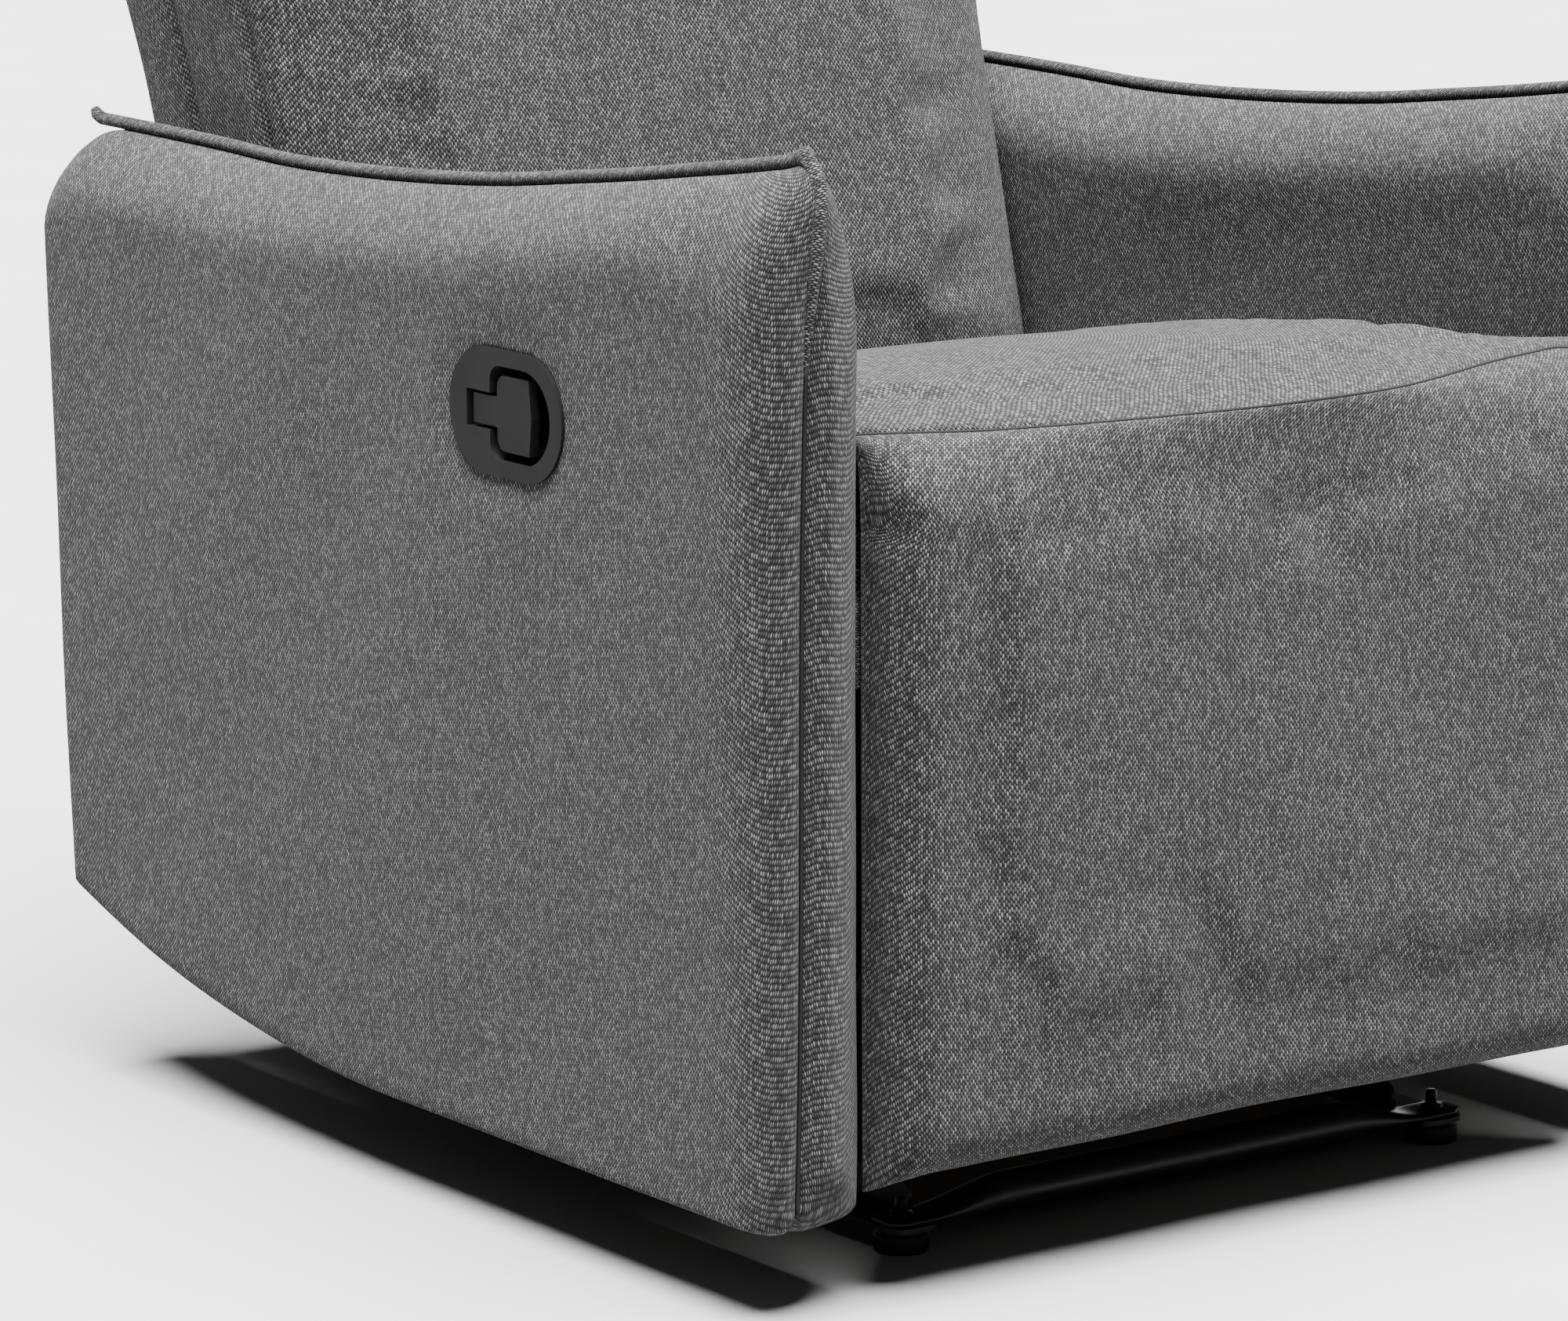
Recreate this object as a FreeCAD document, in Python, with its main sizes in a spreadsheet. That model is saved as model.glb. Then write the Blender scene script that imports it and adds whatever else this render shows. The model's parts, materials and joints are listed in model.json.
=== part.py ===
"""Recliner armchair with a latch lever in one arm.

Frame: +Z up, the sitter faces -Y, origin on the floor at the middle of the overall box.
Right and left are the sitter's own, so the right arm, which holds the latch, is at -X.
Lengths are millimetres and angles are degrees.
"""
import FreeCAD, Part
import math
import os
import Sketcher

os.makedirs("parts", exist_ok=True)
doc = FreeCAD.newDocument("recliner_armchair")

SIZES = {
    # arms
    "arm_outer": 385.6, "arm_inner": 293.0, "arm_ridge": 339.5,
    "arm_front": -462.0, "arm_rear": 339.0, "arm_rear_foot": 321.0,
    "arm_base": 61.0, "arm_rear_base": 124.0, "arm_flat_end": -60.0, "arm_base_curve": 1184.0,
    "arm_tip_height": 672.0, "arm_rear_height": 625.0, "arm_top_curve": 3044.0,
    "arm_corner": 36.0, "arm_toe": 22.0,
    "board_thick": 15.0, "board_inset": 26.0, "board_rear_drop": 8.0, "board_tip_drop": 10.0,
    "piping_radius": 4.0,
    # latch in the right arm
    "latch_y": -198.8, "latch_height": 505.0, "bezel_long": 119.7, "bezel_tall": 76.6,
    "bezel_depth": 24.0, "recess_depth": 19.0, "bezel_rim": 10.5, "bezel_heel": 18.9,
    "throat_tall": 56.6, "throat_back": 16.0, "throat_lip": 2.0, "throat_corner": 10.0, "stem_slot": 22.4,
    "lever_thick": 6.0, "lever_sink": 1.6, "stem_tall": 18.0, "stem_gap": 5.2, "paddle_long": 36.1,
    "paddle_tall": 45.5, "paddle_gap": 5.5, "paddle_corner": 8.0, "paddle_bow": 2.5, "pin_back": 6.0,
    "latch_pin_radius": 1.5,
    "cable_radius": 2.5, "cable_bend": 30.0, "cable_low": 340.0, "anchor_wide": 16.0,
    "anchor_tall": 15.0, "cable_slot": 12.0, "cable_slack": 8.0, "cable_behind": 8.0,
    "slot_over": 0.95,
    # seat
    "frame_top": 400.0, "rail_tall": 35.0, "rail_thick": 25.0, "seat_half": 285.0,
    "seat_nose": 509.0, "seat_crest": 523.0, "crest_y": -285.0, "seat_back_top": 452.0,
    "seat_back_y": 112.0, "lip_reach": 27.0, "crest_curve": 1100.0, "rear_rail_y": 60.0,
    "side_rail_end": 140.0, "rear_rail_thick": 22.0, "rail_gap": 5.0, "cushion_gap": 2.0, "lip_gap": 3.0,
    "spring_wire": 1.75, "spring_span": 44.0, "spring_loop": 7.0, "spring_pitch": 98.0, "spring_sink": 3.0,
    # footrest
    "hinge_y": -455.0, "hinge_height": 500.0, "panel_front": -470.0, "panel_back": -425.0,
    "panel_half": 287.0, "panel_top": 498.0, "panel_base": 84.0, "panel_corner": 30.0,
    "panel_board": 12.0, "panel_margin": 18.0, "pull_back": 50.0, "pull_drop": 165.0, "pull_foot": 32.0,
    "swing_y": -330.0, "swing_height": 300.0,
    # backrest
    "back_y": 205.0, "back_height": 300.0, "back_lean": 15.0, "back_low": 85.0, "back_top": 712.0,
    "back_half": 286.0, "back_flare": 300.0, "flare_start": 372.0, "flare_end": 480.0,
    "back_shoulder": 45.0, "cushion_front": 100.0, "shell_front": 18.0, "shell_rear": 84.0,
    "post_depth": 27.0, "post_wide": 25.0, "post_low": 22.0, "post_top": 690.0,
    "strap_thick": 2.0, "strap_wide": 50.0, "strap_sink": 6.0, "cross_tall": 40.0, "cross_low": 20.0,
    "hollow_open": 1.0, "bracket_half": 14.0, "bracket_gap": 10.0, "bracket_top": 150.0,
    # base
    "glide_radius": 17.0, "glide_taper": 1.5, "glide_tall": 14.0, "glide_x": 209.5,
    "glide_front": -352.0, "glide_rear": 215.0, "stud_radius": 3.75, "stud_top": 33.0, "steel": 3.0,
    "rail_x": 190.0, "rail_wide": 35.0, "rail_rise": 22.0, "rail_corner": 10.0, "rail_front": -369.0,
    "rail_end": 238.0, "web_front": -337.0, "tube_radius": 13.0, "tube_centre": 23.0,
    "tube_half": 168.0, "tab_wide": 30.0, "tab_thick": 4.0, "rear_tube_radius": 11.0,
    "rear_tube_ahead": 30.0, "rear_tube_lift": 2.0, "tower_half": 38.0,
    # linkage
    "link_long": 120.0, "link_lean": 15.0, "link_front_y": -230.0, "link_rear_y": 130.0,
    "link_base": 110.0, "bar_wide": 24.0, "bar_thick": 4.0, "plane_gap": 0.5,
    "rivet_radius": 5.0, "rivet_head": 8.0, "head_thick": 2.2, "head_gap": 0.3, "running_gap": 0.05,
    "plate_low": 205.0, "plate_front": -365.0, "plate_rear": 190.0, "flange_end": 58.0,
    "hinge_plate": 4.5, "hinge_behind": 30.0, "hinge_ahead": 20.0, "hinge_drop": 15.0, "hinge_reach": 18.0,
    "hinge_head": 10.0, "skirt_rear": 326.0, "skirt_thick": 8.0, "skirt_low": 134.0, "skirt_top": 285.0,
    "bolt_radius": 4.0, "bolt_head": 7.0, "bolt_head_thick": 3.0, "bolt_front": -300.0, "bolt_rear": 20.0,
}
SIDES = (("right", -1), ("left", 1))
STRAPS = 4
SPRINGS = 5


# ---- sizes that carry their spreadsheet formula -------------------------------------------
class Size:
    """A number with the spreadsheet formula that gives it."""

    def __init__(self, value, text):
        self.value = value
        self.text = text

    def __add__(self, other):
        other = size(other)
        return Size(self.value + other.value, f"({self.text} + {other.text})")

    def __sub__(self, other):
        other = size(other)
        return Size(self.value - other.value, f"({self.text} - {other.text})")

    def __mul__(self, other):
        other = size(other)
        return Size(self.value * other.value, f"({self.text} * {other.text})")

    def __truediv__(self, other):
        other = size(other)
        return Size(self.value / other.value, f"({self.text} / {other.text})")

    def __neg__(self):
        return Size(-self.value, f"(0 - {self.text})")

    def __radd__(self, other):
        return size(other) + self

    def __rsub__(self, other):
        return size(other) - self

    def __rmul__(self, other):
        return size(other) * self


def size(number):
    return number if isinstance(number, Size) else Size(float(number), f"{float(number)}")


def sine(angle):
    return Size(math.sin(math.radians(angle.value)), f"sin({angle.text} * 1deg)")


def cosine(angle):
    return Size(math.cos(math.radians(angle.value)), f"cos({angle.text} * 1deg)")


def distance(across, up):
    across, up = size(across), size(up)
    length = math.hypot(across.value, up.value)
    return Size(length, f"sqrt({across.text} ^ 2 + {up.text} ^ 2)")


def heading(across, up):
    across, up = size(across), size(up)
    angle = math.degrees(math.atan2(up.value, across.value))
    return Size(angle, f"atan2({up.text}; {across.text})")


sheet = doc.addObject("Spreadsheet::Sheet", "Sizes")
for row, (alias, number) in enumerate(SIZES.items(), start=1):
    sheet.set(f"A{row}", alias)
    sheet.set(f"B{row}", str(number))
    sheet.setAlias(f"B{row}", alias)
doc.recompute()


def get(alias):
    return Size(SIZES[alias], f"Sizes.{alias}")


# ---- helpers ------------------------------------------------------------------------------
def place(item, x=0.0, y=0.0, z=0.0, axis=(1, 0, 0), angle=0.0):
    """Bind the item's place and turn to the sheet."""
    angle = size(angle)
    spin = FreeCAD.Rotation(FreeCAD.Vector(*axis), angle.value or 1.0)
    item.Placement = FreeCAD.Placement(FreeCAD.Vector(), spin)
    item.setExpression("Placement.Rotation.Angle", angle.text)
    for letter, number in zip("xyz", (x, y, z)):
        item.setExpression(f"Placement.Base.{letter}", size(number).text)
    return item


def bind(item, **sizes):
    for name, number in sizes.items():
        item.setExpression(name, size(number).text)
    return item


def box(label, low, span):
    item = doc.addObject("Part::Box", label)
    bind(item, Length=span[0], Width=span[1], Height=span[2])
    return place(item, *low)


def rod(label, start, radius, length, axis="x"):
    """A cylinder that starts at a point and runs along +X, or along +Z."""
    item = doc.addObject("Part::Cylinder", label)
    bind(item, Radius=radius, Height=length)
    return place(item, *start, axis=(0, 1, 0), angle=90.0 if axis == "x" else 0.0)


def joined(label, items):
    item = doc.addObject("Part::MultiFuse", label)
    item.Shapes = items
    return item


def group(label, items):
    item = doc.addObject("Part::Compound", label)
    item.Links = items
    return item


def outward(side, near, thick):
    """The low X of a plate whose inner face is `near` from the middle of the chair."""
    return size(near) if side > 0 else -(size(near) + thick)


def new_body(label):
    return doc.addObject("PartDesign::Body", label)


def origin_plane(body, role):
    return next(item for item in body.Origin.OriginFeatures if item.Role == role)


def arc_between(start, end, radius, bulge):
    """The short arc of a radius from start to end, bulging left (1) or right (-1) of the way."""
    chord = end - start
    half = chord.Length / 2
    rise = math.sqrt(max(radius * radius - half * half, 0.0))
    side = FreeCAD.Vector(-chord.y, chord.x, 0).normalize() * bulge
    centre = start + chord * 0.5 - side * rise
    return Part.Arc(start, centre + side * radius, end)


def draw(body, role, corners, curves=None, circles=()):
    """A closed outline on an origin plane, each corner, radius and hole bound to the sheet.

    curves maps a side's number to (radius, bulge); circles holds (across, up, radius).
    """
    curves = curves or {}
    sketch = body.newObject("Sketcher::SketchObject", "outline")
    sketch.AttachmentSupport = [(origin_plane(body, role), "")]
    sketch.MapMode = "FlatFace"
    corners = [(size(across), size(up)) for across, up in corners]
    points = [FreeCAD.Vector(across.value, up.value, 0) for across, up in corners]
    count = len(points)
    for side in range(count):
        start, end = points[side], points[(side + 1) % count]
        if side in curves:
            radius, bulge = size(curves[side][0]), curves[side][1]
            sketch.addGeometry(arc_between(start, end, radius.value, bulge), False)
        else:
            sketch.addGeometry(Part.LineSegment(start, end), False)

    def ends(side):
        """The point numbers of the side's start and end: an arc may be stored reversed."""
        if side not in curves:
            return 1, 2
        near = sketch.getPoint(side, 1).distanceToPoint(points[side])
        far = sketch.getPoint(side, 2).distanceToPoint(points[side])
        return (1, 2) if near < far else (2, 1)

    def fix(kind, *where, number):
        index = sketch.addConstraint(Sketcher.Constraint(kind, *where, number.value))
        sketch.setExpression(f"Constraints[{index}]", number.text)

    order = [ends(side) for side in range(count)]
    for side, (across, up) in enumerate(corners):
        before = (side - 1) % count
        joint = (before, order[before][1], side, order[side][0])
        sketch.addConstraint(Sketcher.Constraint("Coincident", *joint))
        fix("DistanceX", -1, 1, side, order[side][0], number=across)
        fix("DistanceY", -1, 1, side, order[side][0], number=up)
        if side in curves:
            fix("Radius", side, number=size(curves[side][0]))
    for across, up, radius in circles:
        across, up, radius = size(across), size(up), size(radius)
        centre = FreeCAD.Vector(across.value, up.value, 0)
        ring = sketch.addGeometry(Part.Circle(centre, FreeCAD.Vector(0, 0, 1), radius.value), False)
        fix("DistanceX", -1, 1, ring, 3, number=across)
        fix("DistanceY", -1, 1, ring, 3, number=up)
        fix("Radius", ring, number=radius)
    return sketch


def pad(body, sketch, length, reverse=False):
    feature = body.newObject("PartDesign::Pad", "pad")
    feature.Profile = sketch
    feature.Reversed = reverse
    return bind(feature, Length=length)


def pocket(body, sketch, depth, reverse=False):
    """Cut from the sketch's plane: along its normal when reverse is True, else against it."""
    doc.recompute()
    before = body.Shape.Volume
    feature = body.newObject("PartDesign::Pocket", "pocket")
    feature.Profile = sketch
    feature.Reversed = reverse
    bind(feature, Length=depth)
    doc.recompute()
    if body.Shape.Volume > before - 1.0:
        raise RuntimeError(f"{body.Label}: a pocket cut nothing")
    return feature


def side_plate(label, side, near, thick, corners, curves=None, holes=()):
    """A plate square to X, its outline drawn in Y and Z."""
    body = new_body(label)
    pad(body, draw(body, "YZ_Plane", corners, curves, holes), thick)
    return place(body, outward(side, near, thick))


def bar(label, side, near, start, end):
    """A flat bar with round ends and a hole for a rivet at each end."""
    across, up = end[0] - start[0], end[1] - start[1]
    long = distance(across, up)
    half = BAR_WIDE / 2
    hole = get("rivet_radius") + get("running_gap")
    body = new_body(label)
    # Each round end is two quarter turns, so that its side of the outline is never in doubt.
    corners = [(0, -half), (long, -half), (long + half, 0), (long, half), (0, half), (-half, 0)]
    curves = {1: (half, -1), 2: (half, -1), 4: (half, -1), 5: (half, -1)}
    pad(body, draw(body, "YZ_Plane", corners, curves, [(0, 0, hole), (long, 0, hole)]), BAR_THICK)
    low = outward(side, near, BAR_THICK)
    return place(body, low, start[0], start[1], angle=heading(across, up))


def rivet(label, side, near, y, z, reach, inward=False, radius=None, head=None):
    """A shank that starts at `near` and crosses `reach`, with a head beyond a small gap."""
    radius = radius or get("rivet_radius")
    head = head or get("rivet_head")
    shank = reach + get("head_gap")
    thick = get("head_thick")
    near = size(near)
    if inward:
        shank_near, head_near = near - shank, near - shank - thick
    else:
        shank_near, head_near = near, near + shank
    parts = [rod(f"{label}_shank", (outward(side, shank_near, shank), y, z), radius, shank),
             rod(f"{label}_head", (outward(side, head_near, thick), y, z), head, thick)]
    return joined(label, parts)


BAR_WIDE = get("bar_wide")
BAR_THICK = get("bar_thick")
PLANE_GAP = get("plane_gap")

# Planes of the linkage, counted outward from the base rail's upright web.
WEB_OUT = get("rail_x") + get("steel")
TOWER_OUT = WEB_OUT + get("steel")
LINK_IN = TOWER_OUT + PLANE_GAP
PLATE_IN = LINK_IN + BAR_THICK + PLANE_GAP
PLATE_OUT = PLATE_IN + get("steel")
SWING_IN = PLATE_OUT + PLANE_GAP
CONNECT_IN = SWING_IN + BAR_THICK + PLANE_GAP
BRACKET_IN = CONNECT_IN + BAR_THICK + PLANE_GAP

LINK_Y = get("link_long") * sine(get("link_lean"))
LINK_Z = get("link_long") * cosine(get("link_lean"))
PIVOT_TOP = get("link_base") + LINK_Z
FRAME_TOP = get("frame_top")
RAIL_LOW = FRAME_TOP - get("rail_tall")
RAIL_THICK = get("rail_thick")
SIDE_RAIL_IN = get("arm_inner") - RAIL_THICK
HINGE_PLATE = get("hinge_plate")
HINGE_PLATE_IN = SIDE_RAIL_IN - HINGE_PLATE
BACK_BRACKET_IN = HINGE_PLATE_IN - PLANE_GAP - HINGE_PLATE
POST_IN = BACK_BRACKET_IN - get("post_wide")
LATCH_Y = get("latch_y")
LATCH_Z = get("latch_height")


# ---- base ---------------------------------------------------------------------------------
def glide_places():
    for _, side in SIDES:
        for row in ("glide_front", "glide_rear"):
            yield side * get("glide_x"), get(row)


def make_glides():
    cones, studs = [], []
    for x, y in glide_places():
        cone = doc.addObject("Part::Cone", "glide")
        foot = get("glide_radius")
        bind(cone, Radius1=foot, Radius2=foot - get("glide_taper"), Height=get("glide_tall"))
        cones.append(place(cone, x, y))
        stud_long = get("stud_top") - get("glide_tall")
        studs.append(rod("stud", (x, y, get("glide_tall")), get("stud_radius"), stud_long, "z"))
    return [group("floor_glides", cones), group("glide_studs", studs)]


def make_base_rail(name, side):
    """An angle iron: a web that stands up and a flange that lies on the glides."""
    body = new_body(f"base_rail_{name}")
    rise, steel, round_off = get("rail_rise"), get("steel"), get("rail_corner")
    front, end = get("web_front"), get("rail_end")
    web = [(front, 0), (end, 0), (end, rise), (front + round_off, rise), (front, rise - round_off)]
    pad(body, draw(body, "YZ_Plane", web, {3: (round_off, -1)}), steel, reverse=side < 0)
    wide, toe = side * get("rail_wide"), get("rail_front")
    corner = side * round_off
    flange = [(0, end), (0, toe + round_off), (corner, toe), (wide - corner, toe),
              (wide, toe + round_off), (wide, end)]
    curves = {1: (round_off, -side), 3: (round_off, -side)}
    pad(body, draw(body, "XY_Plane", flange, curves), steel)
    return place(body, side * get("rail_x"), 0, get("glide_tall"))


def make_front_tube():
    y, half = get("glide_front"), get("tube_half")
    tube = rod("tube", (-half, y, get("tube_centre")), get("tube_radius"), half * 2)
    tab_end = get("rail_x") + get("rail_wide")
    tab_low = get("glide_tall") + get("steel")
    tab = box("tabs", (-tab_end, y - get("tab_wide") / 2, tab_low),
              (tab_end * 2, get("tab_wide"), get("tab_thick")))
    return joined("front_cross_tube", [tube, tab])


def make_base():
    nodes = make_glides() + [make_front_tube()]
    rear_half = get("rail_x")
    rear_y = get("glide_rear") - get("rear_tube_ahead")
    rear_z = get("tube_centre") + get("rear_tube_lift")
    nodes.append(rod("rear_cross_tube", (-rear_half, rear_y, rear_z),
                     get("rear_tube_radius"), rear_half * 2))
    foot = get("glide_tall") + get("steel")
    towers, rivets = [], []
    for name, side in SIDES:
        nodes.append(make_base_rail(name, side))
        for row in ("link_front_y", "link_rear_y"):
            y, top, half = get(row), get("link_base"), BAR_WIDE / 2
            wide = get("tower_half")
            corners = [(y - wide, foot), (y + wide, foot), (y + half, top), (y, top + half), (y - half, top)]
            curves = {2: (half, -1), 3: (half, -1)}
            towers.append(side_plate("tower", side, WEB_OUT, get("steel"), corners, curves))
            rivets.append(rivet("base_rivet", side, TOWER_OUT, y, top, PLANE_GAP + BAR_THICK))
    return nodes + [group("link_towers", towers), group("base_pivot_rivets", rivets)]


# ---- rocker links -------------------------------------------------------------------------
def make_links():
    nodes = []
    for name, side in SIDES:
        for row in ("front", "rear"):
            y = get(f"link_{row}_y")
            start = (y, get("link_base"))
            nodes.append(bar(f"{row}_link_{name}", side, LINK_IN, start, (y + LINK_Y, PIVOT_TOP)))
    return nodes


# ---- seat ---------------------------------------------------------------------------------
def make_seat_plate(name, side):
    """A steel side plate with a flange that the wooden frame sits on."""
    top = RAIL_LOW - get("steel")
    front, rear, low = get("plate_front"), get("plate_rear"), get("plate_low")
    swing = get("swing_height") - BAR_WIDE / 2
    corners = [(front, top), (front, swing), (get("link_front_y"), low), (rear, low), (rear, top)]
    web = side_plate("web", side, PLATE_IN, get("steel"), corners)
    wide = get("arm_inner") - PLATE_IN
    flange = box("flange", (outward(side, PLATE_IN, wide), front, top),
                 (wide, get("flange_end") - front, get("steel")))
    return joined(f"seat_plate_{name}", [web, flange])


def make_seat_cushion():
    front = get("panel_back") + get("cushion_gap")
    lip = front - get("lip_reach")
    lip_low = get("hinge_height") + get("lip_gap")
    rear = get("seat_back_y")
    corners = [(front, FRAME_TOP), (front, lip_low), (lip, lip_low), (lip, get("seat_nose")),
               (get("crest_y"), get("seat_crest")), (rear, get("seat_back_top")), (rear, FRAME_TOP)]
    body = new_body("seat_cushion")
    pad(body, draw(body, "YZ_Plane", corners, {3: (get("crest_curve"), 1)}), get("seat_half") * 2)
    return place(body, -get("seat_half"))


def serpentine(start_y, end_y):
    """The centre line of a zigzag spring: straight runs across, joined by half turns."""
    half = SIZES["spring_span"] / 2
    loop = SIZES["spring_loop"]
    count = int((end_y - start_y) / (2 * loop))
    pitch = (end_y - start_y) / count
    edges = []
    for index in range(count):
        side = 1 if index % 2 else -1
        near = FreeCAD.Vector(side * half, start_y + index * pitch, 0)
        far = near + FreeCAD.Vector(0, pitch, 0)
        outside = FreeCAD.Vector(side * (half + pitch / 2), near.y + pitch / 2, 0)
        edges.append(Part.Arc(near, outside, far).toShape())
        if index < count - 1:
            across = FreeCAD.Vector(-side * half, far.y, 0)
            edges.append(Part.LineSegment(far, across).toShape())
    return Part.Wire(edges)


def make_seat_springs():
    """Zigzag springs between the front and rear rails. Their bends aren't a Part primitive."""
    wire = SIZES["spring_wire"]
    start = SIZES["panel_back"] + SIZES["rail_gap"] + SIZES["rail_thick"] + wire
    end = SIZES["rear_rail_y"] - wire
    path = serpentine(start, end)
    section = Part.Wire(Part.makeCircle(wire, path.Vertexes[0].Point, FreeCAD.Vector(-1, 0, 0)))
    solid = path.makePipeShell([section], True, False)
    solids = []
    height = SIZES["frame_top"] - SIZES["spring_sink"]
    for number in range(SPRINGS):
        copy = solid.copy()
        copy.translate(FreeCAD.Vector((number - (SPRINGS - 1) / 2) * SIZES["spring_pitch"], 0, height))
        solids.append(copy)
    item = doc.addObject("Part::Feature", "seat_springs")
    item.Shape = Part.makeCompound(solids)
    return item


def make_seat_frame():
    """Four wooden rails: the side rails run outside the front and rear ones."""
    front = get("panel_back") + get("rail_gap")
    tall = get("rail_tall")
    nodes = [box("seat_front_rail", (-SIDE_RAIL_IN, front, RAIL_LOW), (SIDE_RAIL_IN * 2, RAIL_THICK, tall)),
             box("seat_rear_rail", (-SIDE_RAIL_IN, get("rear_rail_y"), RAIL_LOW),
                 (SIDE_RAIL_IN * 2, get("rear_rail_thick"), tall))]
    for name, side in SIDES:
        low = (outward(side, SIDE_RAIL_IN, RAIL_THICK), front, RAIL_LOW)
        nodes.append(box(f"seat_side_rail_{name}", low, (RAIL_THICK, get("side_rail_end") - front, tall)))
    return nodes


def make_hinge_plate(name, side):
    """The plate on the side rail that carries the backrest's pivot."""
    y, z = get("back_y"), get("back_height")
    start, reach, low = get("rear_rail_y") + get("hinge_behind"), get("hinge_reach"), z - get("hinge_drop")
    corners = [(start, FRAME_TOP), (start, RAIL_LOW), (y - get("hinge_ahead"), low), (y + reach, low),
               (y + reach, z + reach), (get("side_rail_end"), FRAME_TOP)]
    return side_plate(f"back_hinge_plate_{name}", side, HINGE_PLATE_IN, HINGE_PLATE, corners)


def make_rear_skirt():
    """The covered panel between the arms that closes the back below the backrest."""
    half, thick = get("arm_inner"), get("skirt_thick")
    return box("rear_skirt", (-half, get("skirt_rear") - thick, get("skirt_low")),
               (half * 2, thick, get("skirt_top") - get("skirt_low")))


def make_seat():
    nodes = make_seat_frame() + [make_seat_cushion(), make_seat_springs(), make_rear_skirt()]
    link_rivets, hinge_rivets, swing_rivets = [], [], []
    for name, side in SIDES:
        nodes += [make_seat_plate(name, side), make_hinge_plate(name, side)]
        for row in ("link_front_y", "link_rear_y"):
            link_rivets.append(rivet("link_rivet", side, PLATE_IN, get(row) + LINK_Y, PIVOT_TOP,
                                     PLANE_GAP + BAR_THICK, inward=True))
        hinge_rivets.append(rivet("hinge_rivet", side, HINGE_PLATE_IN, get("back_y"), get("back_height"),
                                  PLANE_GAP + HINGE_PLATE, inward=True, head=get("hinge_head")))
        swing_rivets.append(rivet("swing_rivet", side, PLATE_OUT, get("swing_y"), get("swing_height"),
                                  PLANE_GAP + BAR_THICK))
    return nodes + [group("seat_pivot_rivets", link_rivets), group("back_pivot_rivets", hinge_rivets),
                    group("swing_pivot_rivets", swing_rivets)]


# ---- arms ---------------------------------------------------------------------------------
def arm_outline():
    """Seen from the side: a hollowed top, a rounded rear corner and a base that curves up behind."""
    front, rear = get("arm_front"), get("arm_rear")
    corner, toe = get("arm_corner"), get("arm_toe")
    corners = [(get("arm_flat_end"), get("arm_base")), (get("arm_rear_foot"), get("arm_rear_base")),
               (rear, get("arm_rear_height") - corner), (rear - corner, get("arm_rear_height")),
               (front + toe, get("arm_tip_height")), (front, get("arm_tip_height") - toe),
               (front, get("arm_base") + toe), (front + toe, get("arm_base"))]
    curves = {0: (get("arm_base_curve"), -1), 2: (corner, -1), 3: (get("arm_top_curve"), 1),
              4: (toe, -1), 6: (toe, -1)}
    return corners, curves


def board_outline():
    inset = get("board_inset")
    front, rear, low = get("arm_front") + inset, get("arm_rear") - inset, get("arm_base") + inset
    top_rear = get("arm_rear_height") - inset - get("board_rear_drop")
    top_front = get("arm_tip_height") - inset - get("board_tip_drop")
    return [(get("arm_flat_end"), low), (get("arm_rear_foot") - inset, get("arm_rear_base") + inset),
            (rear, top_rear), (0, top_rear), (front, top_front), (front, low)]


def slot_outline(high=None):
    """The slot that the release cable comes down and turns in."""
    half, low = get("cable_slot") / 2, get("cable_low") - get("cable_slack")
    high = high or get("cable_low") + get("cable_bend") - get("cable_slack") / 2
    return [(LATCH_Y - half, low), (LATCH_Y + half, low), (LATCH_Y + half, high), (LATCH_Y - half, high)]


def bezel_outline():
    """A long round-ended outline about the latch's centre."""
    half_tall = get("bezel_tall") / 2
    half_flat = (get("bezel_long") - get("bezel_tall")) / 2
    y, z = LATCH_Y, LATCH_Z
    corners = [(y - half_flat, z - half_tall), (y + half_flat, z - half_tall),
               (y + half_flat + half_tall, z), (y + half_flat, z + half_tall),
               (y - half_flat, z + half_tall), (y - half_flat - half_tall, z)]
    curves = {side: (half_tall, -1) for side in (1, 2, 4, 5)}
    return corners, curves


def make_arm_pad(name, side, part):
    """Half of an arm's padding, from the ridge to the outer or the inner face."""
    body = new_body(f"arm_{part}_pad_{name}")
    thick = get("arm_outer") - get("arm_ridge") if part == "outer" else get("arm_ridge") - get("arm_inner")
    toward_minus = (side < 0) == (part == "outer")
    corners, curves = arm_outline()
    pad(body, draw(body, "YZ_Plane", corners, curves), thick, reverse=toward_minus)
    away = not toward_minus
    pocket(body, draw(body, "YZ_Plane", board_outline()), get("board_thick") / 2, reverse=away)
    if side < 0:
        if part == "outer":
            corners, curves = bezel_outline()
            pocket(body, draw(body, "YZ_Plane", corners, curves), thick, reverse=away)
            high = LATCH_Z - get("bezel_tall") / 4
            slot_deep = thick - get("bezel_depth") + get("slot_over")
            pocket(body, draw(body, "YZ_Plane", slot_outline(high)), slot_deep, reverse=away)
        else:
            pocket(body, draw(body, "YZ_Plane", slot_outline()), thick, reverse=away)
    return place(body, side * get("arm_ridge"))


def make_arm_board(name, side):
    thick = get("board_thick")
    body = new_body(f"arm_board_{name}")
    pad(body, draw(body, "YZ_Plane", board_outline()), thick)
    if side < 0:
        pocket(body, draw(body, "YZ_Plane", slot_outline()), thick, reverse=True)
    return place(body, outward(side, get("arm_ridge") - thick / 2, thick))


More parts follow.
